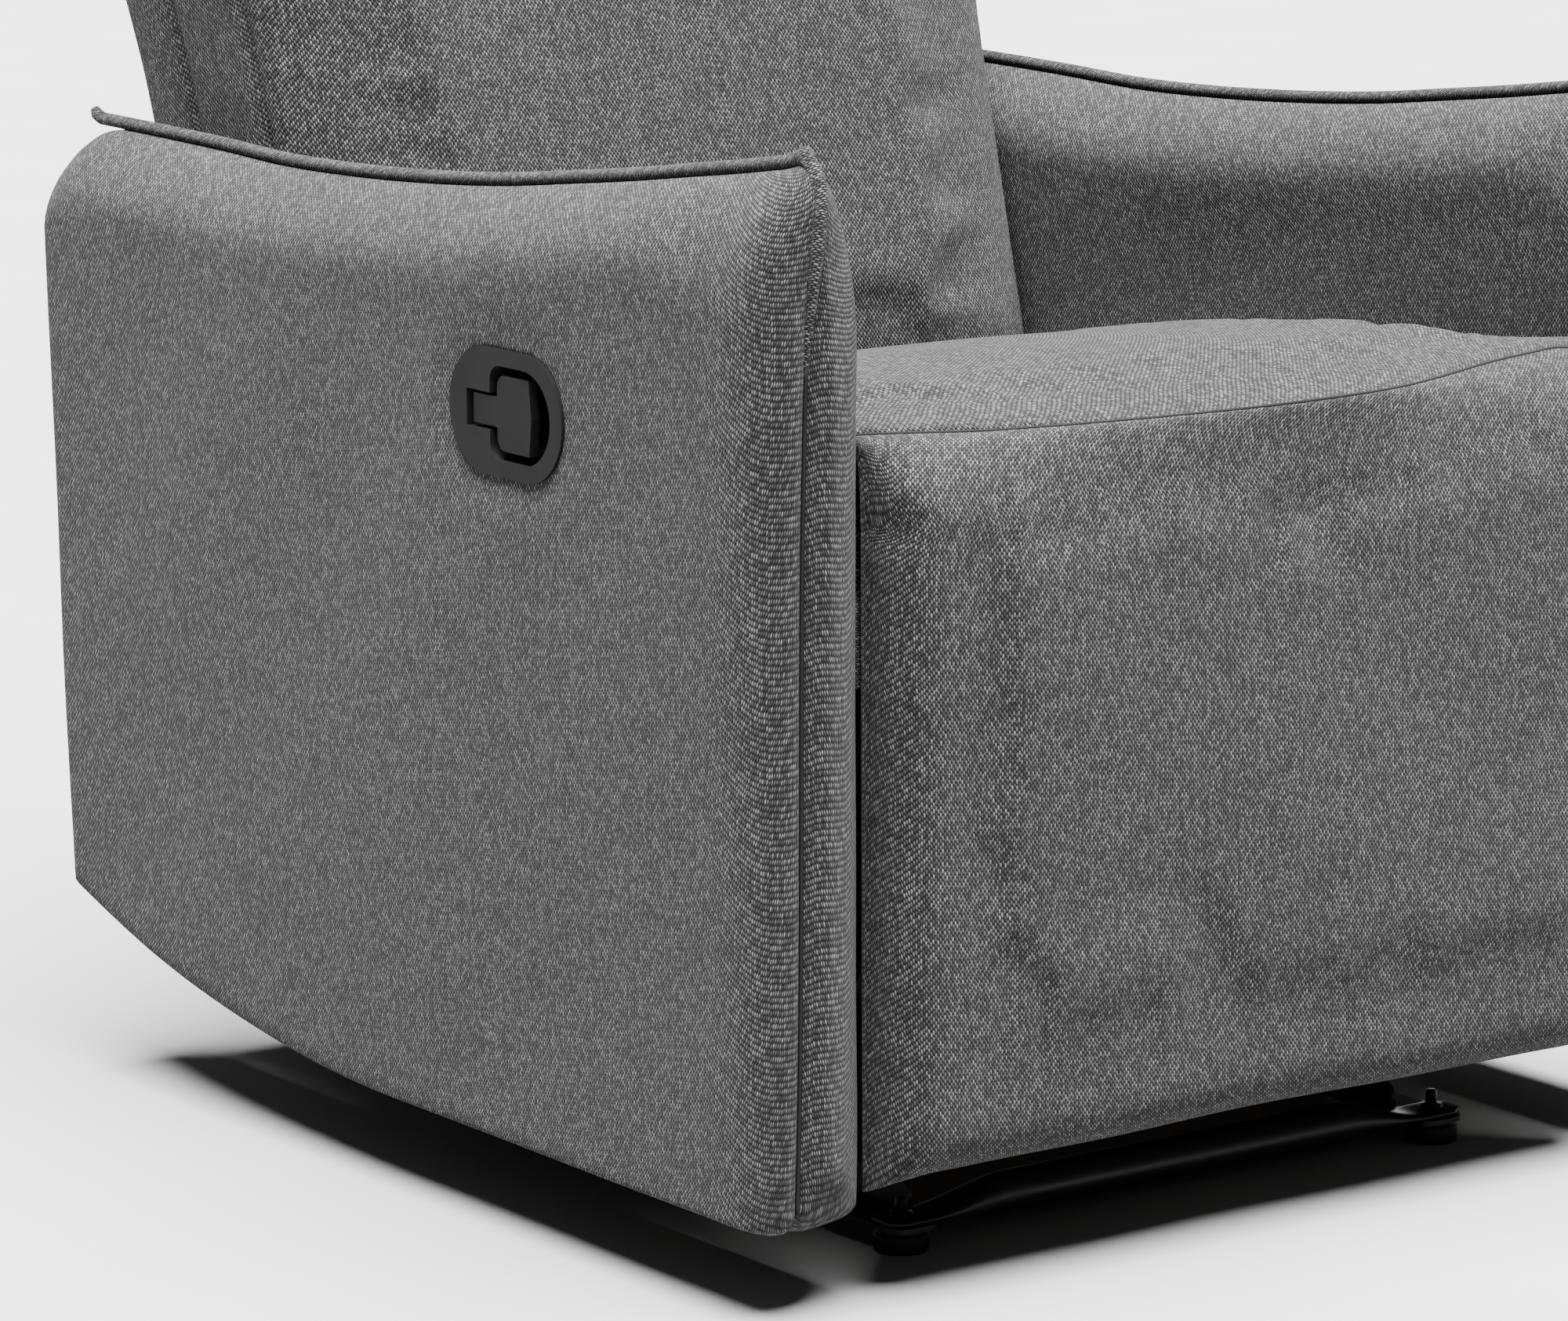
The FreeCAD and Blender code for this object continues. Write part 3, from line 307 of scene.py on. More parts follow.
def heather_fabric(name="heather_fabric", tone=0.88):
    """A coarse weave of floats: each float is one bulge of yarn with its yarn's own tone, plus painted shade in
    the gaps between floats and a painted highlight on their crowns.
    """
    n = Nodes(name)
    uv = n.add("ShaderNodeUVMap", uv_map="cloth").outputs[0]
    wander = n.add("ShaderNodeTexNoise", {"Vector": uv, "Scale": 55.0, "Detail": 2.0}).outputs["Color"]
    centred = n.add("ShaderNodeVectorMath", {0: wander, 1: (0.5, 0.5, 0.5)}, operation="SUBTRACT").outputs[0]
    nudge = n.add("ShaderNodeVectorMath", {0: centred, 3: WANDER}, operation="SCALE").outputs[0]
    bent = n.add("ShaderNodeVectorMath", {0: uv, 1: nudge}, operation="ADD").outputs[0]
    parts = n.add("ShaderNodeSeparateXYZ", {0: bent}).outputs
    u = n.math("MULTIPLY", parts[0], 1 / FLOAT_WIDE)
    column = n.math("FLOOR", u)
    tilt = n.math("MULTIPLY", u, 0.06)
    jitter = n.add("ShaderNodeTexWhiteNoise", {"W": column}, noise_dimensions="1D").outputs["Value"]
    stagger = n.math("ADD", n.math("MULTIPLY", column, 0.5), n.math("MULTIPLY", jitter, 0.16))
    v = n.math("ADD", n.math("ADD", n.math("MULTIPLY", parts[1], 1 / FLOAT_LONG), stagger), tilt)
    row = n.math("FLOOR", v)
    cell = n.add("ShaderNodeCombineXYZ", {0: column, 1: row}).outputs[0]
    random = n.add("ShaderNodeTexWhiteNoise", {"Vector": cell}, noise_dimensions="2D").outputs["Value"]
    strand_place = {0: n.math("MULTIPLY", column, 7.3), 1: n.math("MULTIPLY", v, 0.8)}
    strand = n.add("ShaderNodeCombineXYZ", strand_place)
    along = n.noise(strand.outputs[0], 1.0, 2.0, 0.6)
    yarn = n.math("ADD", n.math("MULTIPLY", random, 0.70), n.math("MULTIPLY", along, 0.30))
    across = n.math("SUBTRACT", n.math("MULTIPLY", n.math("SUBTRACT", u, column), 2.0), 1.0)
    ahead = n.math("SUBTRACT", n.math("MULTIPLY", n.math("SUBTRACT", v, row), 2.0), 1.0)
    round_across = n.math("SUBTRACT", 1.0, n.math("POWER", n.math("ABSOLUTE", across), 2.2))
    round_ahead = n.math("SUBTRACT", 1.0, n.math("POWER", n.math("ABSOLUTE", ahead), 1.5))
    bulge = n.math("MULTIPLY", round_across, round_ahead)
    fibres = n.noise(n.scaled(bent, 1.0, 0.35), 3800.0, 3.0, 0.7)
    colour = n.ramp(yarn, [(stop, tone * shade) for stop, shade in zip(YARN_STOPS, YARN_TONES)])
    # Painted shade and highlight: the colour goes near black in the low gaps between floats and brighter on their
    # raised crowns.
    gap = n.ramp(bulge, [(0.0, 0.02), (0.35, 0.40), (0.75, 1.75)])
    colour = n.mix(1.0, colour, gap, "MULTIPLY")
    colour = n.mix(1.0, colour, n.ramp(fibres, [(0.30, 0.60), (0.70, 1.35)]), "MULTIPLY")
    cloudy = n.noise(uv, 16.0, 4.0, 0.65)
    colour = n.mix(1.0, colour, n.ramp(cloudy, [(0.3, 0.93), (0.7, 1.06)]), "MULTIPLY")
    height = n.math("ADD", bulge, n.math("MULTIPLY", fibres, 0.35))
    n.join(colour, n.shader.inputs["Base Color"])
    n.join(n.bump(height, WEAVE_DEPTH, 1.0), n.shader.inputs["Normal"])
    n.shader.inputs["Roughness"].default_value = 0.95
    n.shader.inputs["Specular IOR Level"].default_value = 0.08
    n.shader.inputs["Sheen Weight"].default_value = 0.04
    n.shader.inputs["Sheen Roughness"].default_value = 0.5
    return n.material


def grainy(name, colour, rough, grain, depth, metallic=0.0, spread=0.25, specular=0.5):
    """A hard material with fine grain in its height, tone and gloss."""
    n = Nodes(name)
    place = n.add("ShaderNodeTexCoord").outputs["Object"]
    fine = n.noise(place, grain, 3.0, 0.6)
    broad = n.noise(place, 22.0, 4.0, 0.6)
    dark = tuple(c * (1 - spread) for c in colour)
    n.join(n.mix(broad, (*dark, 1), (*colour, 1)), n.shader.inputs["Base Color"])
    gloss = n.ramp(broad, [(0.25, max(rough - 0.08, 0.02)), (0.75, min(rough + 0.08, 1.0))])
    n.join(gloss, n.shader.inputs["Roughness"])
    n.join(n.bump(fine, depth), n.shader.inputs["Normal"])
    n.shader.inputs["Metallic"].default_value = metallic
    n.shader.inputs["Specular IOR Level"].default_value = specular
    return n.material


def plywood(name="frame_wood"):
    n = Nodes(name)
    place = n.add("ShaderNodeTexCoord").outputs["Object"]
    stretched = n.scaled(place, 60.0, 6.0, 60.0)
    ring = n.noise(stretched, 1.0, 5.0, 0.6)
    grain = n.ramp(ring, [(0.3, (0.33, 0.20, 0.10)), (0.7, (0.62, 0.45, 0.27))])
    n.join(grain, n.shader.inputs["Base Color"])
    n.join(n.bump(ring, 0.4 * MM), n.shader.inputs["Normal"])
    n.shader.inputs["Roughness"].default_value = 0.7
    return n.material


def webbing_cloth(name="webbing"):
    n = Nodes(name)
    place = n.add("ShaderNodeTexCoord").outputs["Object"]
    waves_in = {"Vector": place, "Scale": 260.0, "Distortion": 1.0}
    ribs = n.add("ShaderNodeTexWave", waves_in, bands_direction="Z").outputs["Fac"]
    n.join(n.ramp(ribs, [(0.2, 0.02), (0.8, 0.07)]), n.shader.inputs["Base Color"])
    n.join(n.bump(ribs, 0.3 * MM), n.shader.inputs["Normal"])
    n.shader.inputs["Roughness"].default_value = 0.9
    return n.material


FABRIC = heather_fabric()
# Near-black colour of the thin tubes laid in seam grooves: painted shade for the seams' dark lines.
SEAM_SHADE = grainy("seam_shade_dark", (0.008, 0.008, 0.008), 0.9, 3000.0, 0.1 * MM, specular=0.1)
PLASTIC = grainy("charcoal_plastic", (0.0042, 0.0043, 0.0046), 0.62, 2600.0, 0.10 * MM, specular=0.07)
GLIDE = grainy("glide_plastic", (0.004, 0.004, 0.0042), 0.5, 1500.0, 0.1 * MM, specular=0.08)
BLACK = grainy("black_steel", (0.0035, 0.0035, 0.0038), 0.36, 1300.0, 0.05 * MM, 0.0, 0.2, 0.12)
ZINC = grainy("zinc_steel", (0.52, 0.53, 0.55), 0.36, 900.0, 0.05 * MM, 1.0)
WOOD = plywood()
WEBBING = webbing_cloth()


# ---- arms ----------------------------------------------------------------------------------
ARM_LOW, ARM_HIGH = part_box("arm_outer_pad_left")
RIDGE = ARM_LOW.x
ARM_OUT = ARM_HIGH.x
ARM_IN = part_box("arm_inner_pad_left")[0].x
ARM_REAR = ARM_HIGH.y
ARM_BASE = ARM_LOW.z
TIP_Y = -0.438
RIDGE_LINE = curve_through([(TIP_Y - 0.01, 0.6815), (TIP_Y, 0.6815), (-0.427, 0.6785), (-0.410, 0.6757),
                            (-0.387, 0.672), (-0.342, 0.6655), (-0.27, 0.6553), (-0.204, 0.647),
                            (-0.142, 0.6395), (-0.06, 0.6325), (0.038, 0.6275), (0.105, 0.6262),
                            (0.191, 0.6285), (0.295, 0.6300), (ARM_REAR + 0.023, 0.6305)])
NOSE_LINE = curve_through([(0.06, -0.450), (0.10, -0.451), (0.50, -0.451), (0.58, -0.4525), (0.625, -0.4550),
                           (0.650, -0.4560), (0.664, -0.4535), (0.673, -0.4480), (0.6815, TIP_Y)])
NOSE_SHIFT = curve_through([(0.06, 0.016), (0.30, 0.0125), (0.50, 0.0095), (0.58, 0.0075), (0.64, 0.0045),
                            (0.668, 0.001), (0.69, 0.0)])
PIPE = 4.2 * MM
LATCH_LOW, LATCH_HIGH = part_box("latch_bezel")


def arm_base_line(y):
    """Flat in front, then the arc that lifts the rear."""
    return ARM_BASE - 8 * MM + np.clip(y - (-0.06), 0, None) ** 2 / (2 * 1.16)


def ridge_x(y, z):
    """The seam's distance from the chair's middle: it wanders outward down the nose."""
    return RIDGE + NOSE_SHIFT(z) * (1 - smooth(0.0, 0.06, y - NOSE_LINE(z)))


def from_bezel(y, z):
    """Distance outward from the bezel's edge."""
    half_tall = (LATCH_HIGH.z - LATCH_LOW.z) / 2
    flat = (LATCH_HIGH.y - LATCH_LOW.y) / 2 - half_tall
    centre_y, centre_z = (LATCH_LOW.y + LATCH_HIGH.y) / 2, (LATCH_LOW.z + LATCH_HIGH.z) / 2
    return np.hypot(np.maximum(abs(y - centre_y) - flat, 0), z - centre_z) - half_tall


def finer(shares, length, start, low, high, step):
    """Adds closely spaced stations between two places."""
    extra = (np.arange(low, high, step) - start) / length
    keep = shares[(shares < extra[0] - 1e-3) | (shares > extra[-1] + 1e-3)]
    return np.sort(np.concatenate([keep, extra]))


def arm_half(side, outer):
    """The outer or inner half of an arm's cover, full at its face and pinched at the seam all round."""
    rear_round, base_round, corner, toe = 0.016, 0.009, 0.052, 0.018
    us = stations(ARM_REAR - TIP_Y, 0.045, rear_round, 0.008, 16, 4.0)
    vs = stations(0.57, base_round, 0.05, 0.008, 10)
    if side < 0 and outer:
        us = finer(us, ARM_REAR - TIP_Y, TIP_Y, LATCH_LOW.y - 0.012, LATCH_HIGH.y + 0.012, 0.0025)
        vs = finer(vs, 0.57, ARM_BASE, LATCH_LOW.z - 0.012, LATCH_HIGH.z + 0.012, 0.0025)
    a, b = np.meshgrid(us, vs, indexing="ij")
    rear = ARM_REAR + 0.022 - 0.020 * (1 - b)
    z = ARM_BASE + 0.6 * b
    for _ in range(6):
        front = NOSE_LINE(z)
        y = front + (rear - front) * a
        over = np.clip(y - (ARM_REAR + 0.022 - corner), 0, corner)
        droop = corner - np.sqrt(np.maximum(corner ** 2 - over ** 2, 0))
        top = RIDGE_LINE(y) - 1.6 * PIPE - droop
        ahead = np.clip(front + toe - y, 0, toe)
        base = arm_base_line(y) + toe - np.sqrt(np.maximum(toe ** 2 - ahead ** 2, 0))
        z = base + (top - base) * b
    middle = ridge_x(y, z)
    wide = (ARM_OUT - middle) if outer else (middle - ARM_IN)
    near_tip = 1 - smooth(0.0, 0.13, y - TIP_Y)
    top_round = 0.050 + (0.038 if outer else 0.060) * near_tip
    nose_round, nose_power = (0.042, 2.3) if outer else (0.041, 2.2)
    fullness = (swell(top - z, top_round, 1.75) * swell(y - front, nose_round, nose_power)
                * swell(rear - y, rear_round, 2.2) * swell(z - base, base_round, 2.2))
    field = waves(11 if outer else 12, 7, 0.42, 0.16)
    belly = 0.96 + 0.04 * np.sin(math.pi * b) * np.sin(math.pi * a)
    off = wide * fullness * belly + 0.8 * MM * field(y, z) * smooth(0.3, 1.0, fullness)
    # Each half stands forward of the nose's seam, the inner one more, and both meet it at the tip.
    lobe = (3.0 if outer else 11.0) * MM * smooth(0.0, 0.009, off) * (1 - smooth(0.018, 0.052, off))
    ahead = 1 - smooth(0.04, 0.06, y - front)
    groove = 5.5 * MM * np.exp(-off / (2.4 * MM)) * smooth(0.045, 0.09, top - z)
    y = y - (lobe * smooth(0.03, 0.13, top - z) * smooth(0.0, 0.03, z - base) - groove) * ahead
    z = z - 1.6 * MM * np.exp(-(off / (6.0 * MM)) ** 2) * smooth(0.03, 0.0, top - z)
    if side < 0 and outer:
        # The cloth is drawn in under the bezel, which stands a little proud of it.
        away = from_bezel(y, z)
        pull = 1 - smooth(-0.002, 0.030, away)
        under = ARM_OUT - middle - 2.2 * MM - 2.0 * MM * smooth(0.0, -0.004, away)
        ripple = 0.35 * MM * np.sin(16 * np.arctan2(z - 0.505, y + 0.199)) * smooth(0.0, 0.006, away)
        off = off * (1 - pull) + (under + ripple * pull) * pull
    x = side * (middle + (off if outer else -off))
    return np.stack([x, y, z], -1)


def arm_seam_path(side):
    """The corded seam: a stub at the rear, along the ridge, over the tip and down into the nose."""
    ys = np.linspace(ARM_REAR + 0.004, TIP_Y + 0.010, 110)
    path = [(RIDGE, y, float(RIDGE_LINE(y)) - PIPE) for y in ys]
    stub = [(RIDGE, ARM_REAR + 0.0130, 0.6315), (RIDGE, ARM_REAR + 0.0105, 0.6285)]
    tip = []
    for z in (0.6835, 0.6812, 0.6765, 0.670, 0.660, 0.648, 0.634, 0.618, 0.60, 0.58, 0.56, 0.54):
        sunk = 0.0060 * smooth(0.625, 0.55, z) - 0.0010
        y = float(NOSE_LINE(min(z, 0.6815)))
        tip.append((float(RIDGE + NOSE_SHIFT(z)), y + sunk - 0.0012 * smooth(0.66, 0.68, z), z - PIPE))
    return [(side * x, y, z) for x, y, z in stub + path + tip]


def make_arm(name, side):
    skin = Skin()
    for outer in (True, False):
        skin.grid(arm_half(side, outer), flip=(side > 0) != outer)
    cover = skin.build(f"arm_cover_{name}", FABRIC)
    if side < 0:
        open_for_latch(cover)
    settled(cover, "seat_body")
    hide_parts(f"arm_outer_pad_{name}", f"arm_inner_pad_{name}")
    cord = Skin()
    path = arm_seam_path(side)
    last = len(path) - 1

    def squeeze(i):
        """Rounded at the rear stub, thick at the tip's fold and thinning into the nose seam."""
        start = 0.75 if i == 0 else 1.0
        end = 1.0 - 0.45 * smooth(last - 6, last, i)
        knot = 1.0 + 0.16 * math.exp(-((i - (last - 11)) / 1.2) ** 2)
        return start * end * knot, start * end * knot

    tube(cord, path, PIPE, 14, squeeze)
    piping = cord.build(f"arm_cord_{name}", FABRIC)
    settled(piping, "seat_body")
    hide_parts(f"arm_piping_{name}")
    # A thin near-black tube laid in the nose's seam groove is painted shade: it darkens the crease down the front
    # of the arm.
    crease = Skin()
    zs = np.linspace(0.56, ARM_BASE + 0.006, 90)
    line = np.stack([side * (RIDGE + NOSE_SHIFT(zs)), NOSE_LINE(zs) + 2.6 * MM, zs], -1)
    tube(crease, line, 1.2 * MM, 8)
    settled(crease.build(f"arm_crease_shade_{name}", SEAM_SHADE), "seat_body")


def settled(item, body):
    """The end of each piece: the body it rides on."""
    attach(item, body)
    return item


def open_for_latch(cover):
    """Cuts the cover away behind the bezel."""
    bm = bmesh.new()
    bm.from_mesh(cover.data)
    doomed = []
    for face in bm.faces:
        c = face.calc_center_median()
        if c.x < -RIDGE - 0.02 and from_bezel(c.y, c.z) < -4.5 * MM:
            doomed.append(face)
    bmesh.ops.delete(bm, geom=doomed, context="FACES")
    bm.to_mesh(cover.data)
    bm.free()


# ---- seat and leg rest ---------------------------------------------------------------------
SEAT_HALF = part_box("seat_cushion")[1].x
SEAT_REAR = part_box("seat_cushion")[1].y
PANEL_LOW, PANEL_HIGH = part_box("footrest_pad")
SEAT_LINE = curve_through([(-0.47, 0.505), (-0.44, 0.5145), (-0.40, 0.5175), (-0.34, 0.5165), (-0.28, 0.5125),
                           (-0.19, 0.504), (-0.085, 0.490), (0.0, 0.475), (SEAT_REAR, 0.455)])


SEAM_DROP, SEAM_BACK, SEAM_WIDE = 2.2 * MM, 1.8 * MM, 2.6 * MM


def seam_y(x):
    """The seat's front seam from above: bowed, with ends that turn back along the arms."""
    return -0.466 + 0.053 * abs(x / SEAT_HALF) ** 1.9 + 0.010 * smooth(0.05, 0.2, x)


def seam_z(x):
    """The seam's height: a little higher on the left, lower in its left corner."""
    left = 0.0035 * smooth(0.08, 0.2, x) - 0.005 * smooth(0.24, 0.285, x)
    return 0.5105 + left + 0.002 * smooth(-0.2, -0.28, x)


def make_seat():
    """The seat's top, which dips to its front seam, and the plain front and sides below it."""
    wide = SEAT_HALF + 7 * MM
    us = stations(2 * wide, 0.045, 0.045, 0.0085, 10)
    vs = stations(SEAT_REAR + 0.461, 0.026, 0.03, 0.0085, 14, 2.4)
    a, b = np.meshgrid(us, vs, indexing="ij")
    x = -wide + 2 * wide * a
    front = seam_y(x)
    y = front + (SEAT_REAR - front) * b
    edge = wide - abs(x)
    from_seam = y - front
    field = waves(21, 9, 0.40, 0.14)
    pillow = swell(from_seam, 0.055, 2.0)
    top = seam_z(x) + (SEAT_LINE(y) - seam_z(x)) * pillow - SEAM_DROP * np.exp(-from_seam / SEAM_WIDE)
    top += (0.9 * MM * field(x, y) - 3.5 * MM * smooth(-0.05, 0.2, x)) * smooth(0, 0.08, from_seam)
    top -= 0.018 * (1 - swell(edge, 0.085, 2.0)) * smooth(0.0, 0.05, from_seam)
    top -= 0.006 * (1 - swell(SEAT_REAR - y, 0.03, 2.0))
    y = y + SEAM_BACK * np.exp(-from_seam / SEAM_WIDE)
    surface = np.stack([x, y, top], -1)
    skin = Skin().grid(surface)
    frame_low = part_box("seat_front_rail")[0].z
    rail_x, rail_y = ARM_IN + 0.8 * MM, PANEL_HIGH.y + 3 * MM
    for edge_line, flip in ((surface[0], True), (surface[-1], False), (surface[:, -1], True)):
        steps = np.linspace(0, 1, 14)[:, None, None]
        low = edge_line.copy()
        low[:, 2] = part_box("seat_front_rail")[1].z - 2 * MM
        skin.grid(edge_line[None] * (1 - steps) + low[None] * steps, flip)
    # Under the seam the front turns back, so that the leg rest can swing past it.
    line = surface[:, 0]
    rows = [line]
    for forward, down in ((0.0, 0.004), (0.5, 0.007), (1.0, 0.010), (1.0, 0.05), (1.0, 0.09)):
        row = line.copy()
        row[:, 1] = line[:, 1] * (1 - forward) + np.maximum(rail_y, line[:, 1]) * forward
        row[:, 2] = line[:, 2] - down
        rows.append(row)
    for height in (0.415, 0.40, frame_low):
        row = line.copy()
        row[:, 0] = line[:, 0] * rail_x / wide
        row[:, 1], row[:, 2] = rail_y, height
        rows.append(row)
    skin.grid(np.array(rows), False)
    for side in (-1, 1):
        depths = (rail_y, rail_y + 0.03, rail_y + 0.09)
        flap = [[(side * rail_x, y, z) for z in (0.44, frame_low)] for y in depths]
        skin.grid(np.array(flap), side < 0)
    cover = skin.build("seat_cover", FABRIC)

    def loose(points):
        inside = smooth(0.0, 0.10, points[:, 1] - seam_y(points[:, 0]))
        inside *= smooth(0.0, 0.09, wide - abs(points[:, 0]))
        return inside * smooth(0.0, 0.09, SEAT_REAR - points[:, 1]) * (points[:, 2] > 0.44)

    settle(cover, loose, 1.2, 0.012, 7 * MM)
    settled(cover, "seat_body")
    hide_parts("seat_cushion")
    # A thin near-black tube along the front seam's groove is painted shade for the seam's dark line.
    seam_shade_skin = Skin()
    xs = np.linspace(-wide + 1 * MM, wide - 1 * MM, 160)
    proud = 0.3 * MM
    line = np.stack([xs, seam_y(xs) + SEAM_BACK - proud, seam_z(xs) - SEAM_DROP + proud], -1)
    tube(seam_shade_skin, line, 1.0 * MM, 8)
    seam_shade_tube = seam_shade_skin.build("seat_seam_shade", SEAM_SHADE)
    settled(seam_shade_tube, "seat_body")


HEM_LINE = curve_through([(-0.292, 0.0660), (-0.284, 0.0690), (-0.27, 0.0715), (-0.23, 0.0725),
                          (-0.12, 0.0725), (-0.02, 0.0745), (0.10, 0.0730), (0.23, 0.0725), (0.27, 0.0715),
                          (0.284, 0.0690), (0.292, 0.0660)])


def make_leg_rest():
    """One cover from the seat's front seam down the front to the hem and up behind the board."""
    half = ARM_IN - 0.6 * MM
    hem, back = PANEL_LOW.z, PANEL_HIGH.y
    deep = back - PANEL_LOW.y
    us = stations(2 * half, 0.040, 0.040, 0.0085, 12)
    vs = stations(0.43, 0.030, 0.024, 0.0085, 14, 2.4)
    a, b = np.meshgrid(us, vs, indexing="ij")
    x = -half + 2 * half * a
    top = seam_z(x)
    sag = HEM_LINE(x)
    z = sag + (top - sag) * b
    edge = half - abs(x)
    field = waves(31, 9, 0.36, 0.13)
    full = swell(edge, 0.036, 2.9) * swell(z - sag, 0.034, 2.1)
    bow = 0.965 + 0.035 * np.sin(math.pi * b)
    tuck = 0.5 * np.exp(-((z - 0.462) / 0.008) ** 2 - ((x + half) / 0.012) ** 2)
    full = full * (1 - tuck)
    y = back - deep * full * bow - 0.9 * MM * field(x, z) * smooth(0.4, 1.0, full)
    roll = swell(top - z, 0.050, 2.0)
    y = seam_y(x) + (y - seam_y(x)) * roll
    near_seam = np.exp(-(top - z) / SEAM_WIDE)
    front = np.stack([x, y + SEAM_BACK * near_seam, z - SEAM_DROP * near_seam], -1)
    skin = Skin().grid(front, flip=False)
    behind = front.copy()
    behind[..., 1] = back - 0.4 * MM
    behind[..., 2] = np.where(b > 0.98, top - 0.008, z)
    skin.grid(behind, flip=True, shift=(0.9, 0.0))
    for edge_front, edge_back in ((front[0], behind[0]), (front[-1], behind[-1]), (front[:, 0], behind[:, 0]),
                                  (front[:, -1], behind[:, -1])):
        steps = np.linspace(0, 1, 4)[:, None, None]
        skin.grid(edge_front[None] * (1 - steps) + edge_back[None] * steps)
    cover = skin.build("leg_rest_cover", FABRIC)

    def loose(points):
        inside = smooth(0.0, 0.09, half - abs(points[:, 0])) * smooth(0.0, 0.10, points[:, 2] - hem)
        return inside * smooth(0.0, 0.07, seam_z(points[:, 0]) - points[:, 2]) * (points[:, 1] < back - 0.02)

    settle(cover, loose, 0.8, 0.010, 6 * MM)
    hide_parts("footrest_pad")
    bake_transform(cover)


# ---- backrest ------------------------------------------------------------------------------
BACK_PIVOT = next(j for j in frame["joints"] if j["name"] == "back_recline")["pos_m"]
LEAN = math.radians(15.0)


def leaned(x, behind, along):
    """From the backrest's own directions to the frame's."""
    y = BACK_PIVOT[1] + behind * math.cos(LEAN) + along * math.sin(LEAN)
    z = BACK_PIVOT[2] + along * math.cos(LEAN) - behind * math.sin(LEAN)
    return np.stack(np.broadcast_arrays(x, y, z), -1)


def make_backrest():
    """A crowned front, a boxing strip, the outer shell's strip and its rear, sewn at three seams."""
    low, high = 0.085, 0.712
    half_width = curve_through([(low, 0.284), (0.30, 0.2855), (0.372, 0.288), (0.48, 0.299), (0.60, 0.302),
                                (high, 0.298)])
    us = stations(0.6, 0.07, 0.07, 0.009)
    vs = stations(high - low, 0.05, 0.07, 0.009)
    a, b = np.meshgrid(us, vs, indexing="ij")
    along = low + (high - low) * b
    half = half_width(along)
    corner = 0.060
    over = np.clip(along - (high - corner), 0, corner)
    half = half - (corner - np.sqrt(np.maximum(corner ** 2 - over ** 2, 0)))
    x = -half + 2 * half * a
    crest = 0.010 * (1 - (x / 0.3) ** 2)
    along = along + crest * smooth(0.4, 1.0, b)
    edge = half - abs(x)
    field = waves(41, 9, 0.40, 0.14)
    seam_front, seam_shell = -0.068, 0.018
    full = swell(edge, 0.115, 2.1) * swell(high + crest - along, 0.11, 2.0) * swell(along - low, 0.07, 2.0)
    pucker = np.sin(along * 2 * math.pi / 0.034 + 3 * np.sin(along * 9)) * np.exp(-(edge / 0.045) ** 2)
    pucker = pucker * smooth(0.0, 0.012, edge) * smooth(0.36, 0.44, along)
    uneven = 1.0 * MM * field(x, along) + 1.1 * MM * pucker
    front = seam_front - 0.044 * full - uneven * smooth(0.05, 0.5, full)
    rear_full = swell(edge, 0.05, 2.2) * swell(high + crest - along, 0.05, 2.2)
    rear_full = rear_full * swell(along - low, 0.03, 2.0)
    rear = 0.072 + 0.012 * rear_full + 0.6 * MM * field(x + 1.0, along) * rear_full
    skin = Skin()
    face = leaned(x, front, along)
    skin.grid(face, flip=False)
    rear_face = leaned(x, rear, along)
    skin.grid(rear_face, flip=True, shift=(1.3, 0.2))

    # The strips round the edge: each stands a little proud between its two seams.
    loop = [(x[0, j], along[0, j]) for j in range(x.shape[1])]
    loop += [(x[i, -1], along[i, -1]) for i in range(1, x.shape[0])]
    loop += [(x[-1, j], along[-1, j]) for j in range(x.shape[1] - 2, -1, -1)]
    loop += [(x[i, 0], along[i, 0]) for i in range(x.shape[0] - 2, -1, -1)]
    loop = np.array(loop)
    heading = np.roll(loop, -1, 0) - np.roll(loop, 1, 0)
    heading[0], heading[-1] = loop[1] - loop[-2], loop[1] - loop[-2]
    out = np.stack([-heading[:, 1], heading[:, 0]], -1)
    out /= np.maximum(np.linalg.norm(out, axis=1), 1e-9)[:, None]
    levels = [(seam_front, 0.0), (seam_front + 0.0015, -0.0018), (seam_front + 0.005, 0.0012)]
    levels += [(d, 0.0035) for d in np.linspace(-0.055, 0.004, 6)]
    levels += [(seam_shell - 0.006, 0.0016), (seam_shell - 0.001, -0.0018), (seam_shell + 0.001, -0.0018),
               (seam_shell + 0.006, 0.0014), (0.036, 0.0022), (0.054, 0.0018), (0.064, 0.0008), (0.072, 0.0)]
    strips = [leaned(loop[:, 0] + out[:, 0] * proud, level, loop[:, 1] + out[:, 1] * proud)
              for level, proud in levels]
    skin.grid(np.array(strips), flip=False, shift=(2.1, 0.5))
    cover = skin.build("back_cover", FABRIC)

    def loose(points):
        dy, dz = points[:, 1] - BACK_PIVOT[1], points[:, 2] - BACK_PIVOT[2]
        up = dy * math.sin(LEAN) + dz * math.cos(LEAN)
        behind = dy * math.cos(LEAN) - dz * math.sin(LEAN)
        inside = smooth(0.0, 0.10, half_width(up) - abs(points[:, 0])) * smooth(0.0, 0.10, high - up)
        return inside * smooth(0.0, 0.10, up - low) * (behind < seam_front - 0.004)

    settle(cover, loose, 1.2, 0.014, 8 * MM)
    settled(cover, "backrest")
    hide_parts("back_cushion", "back_shell")


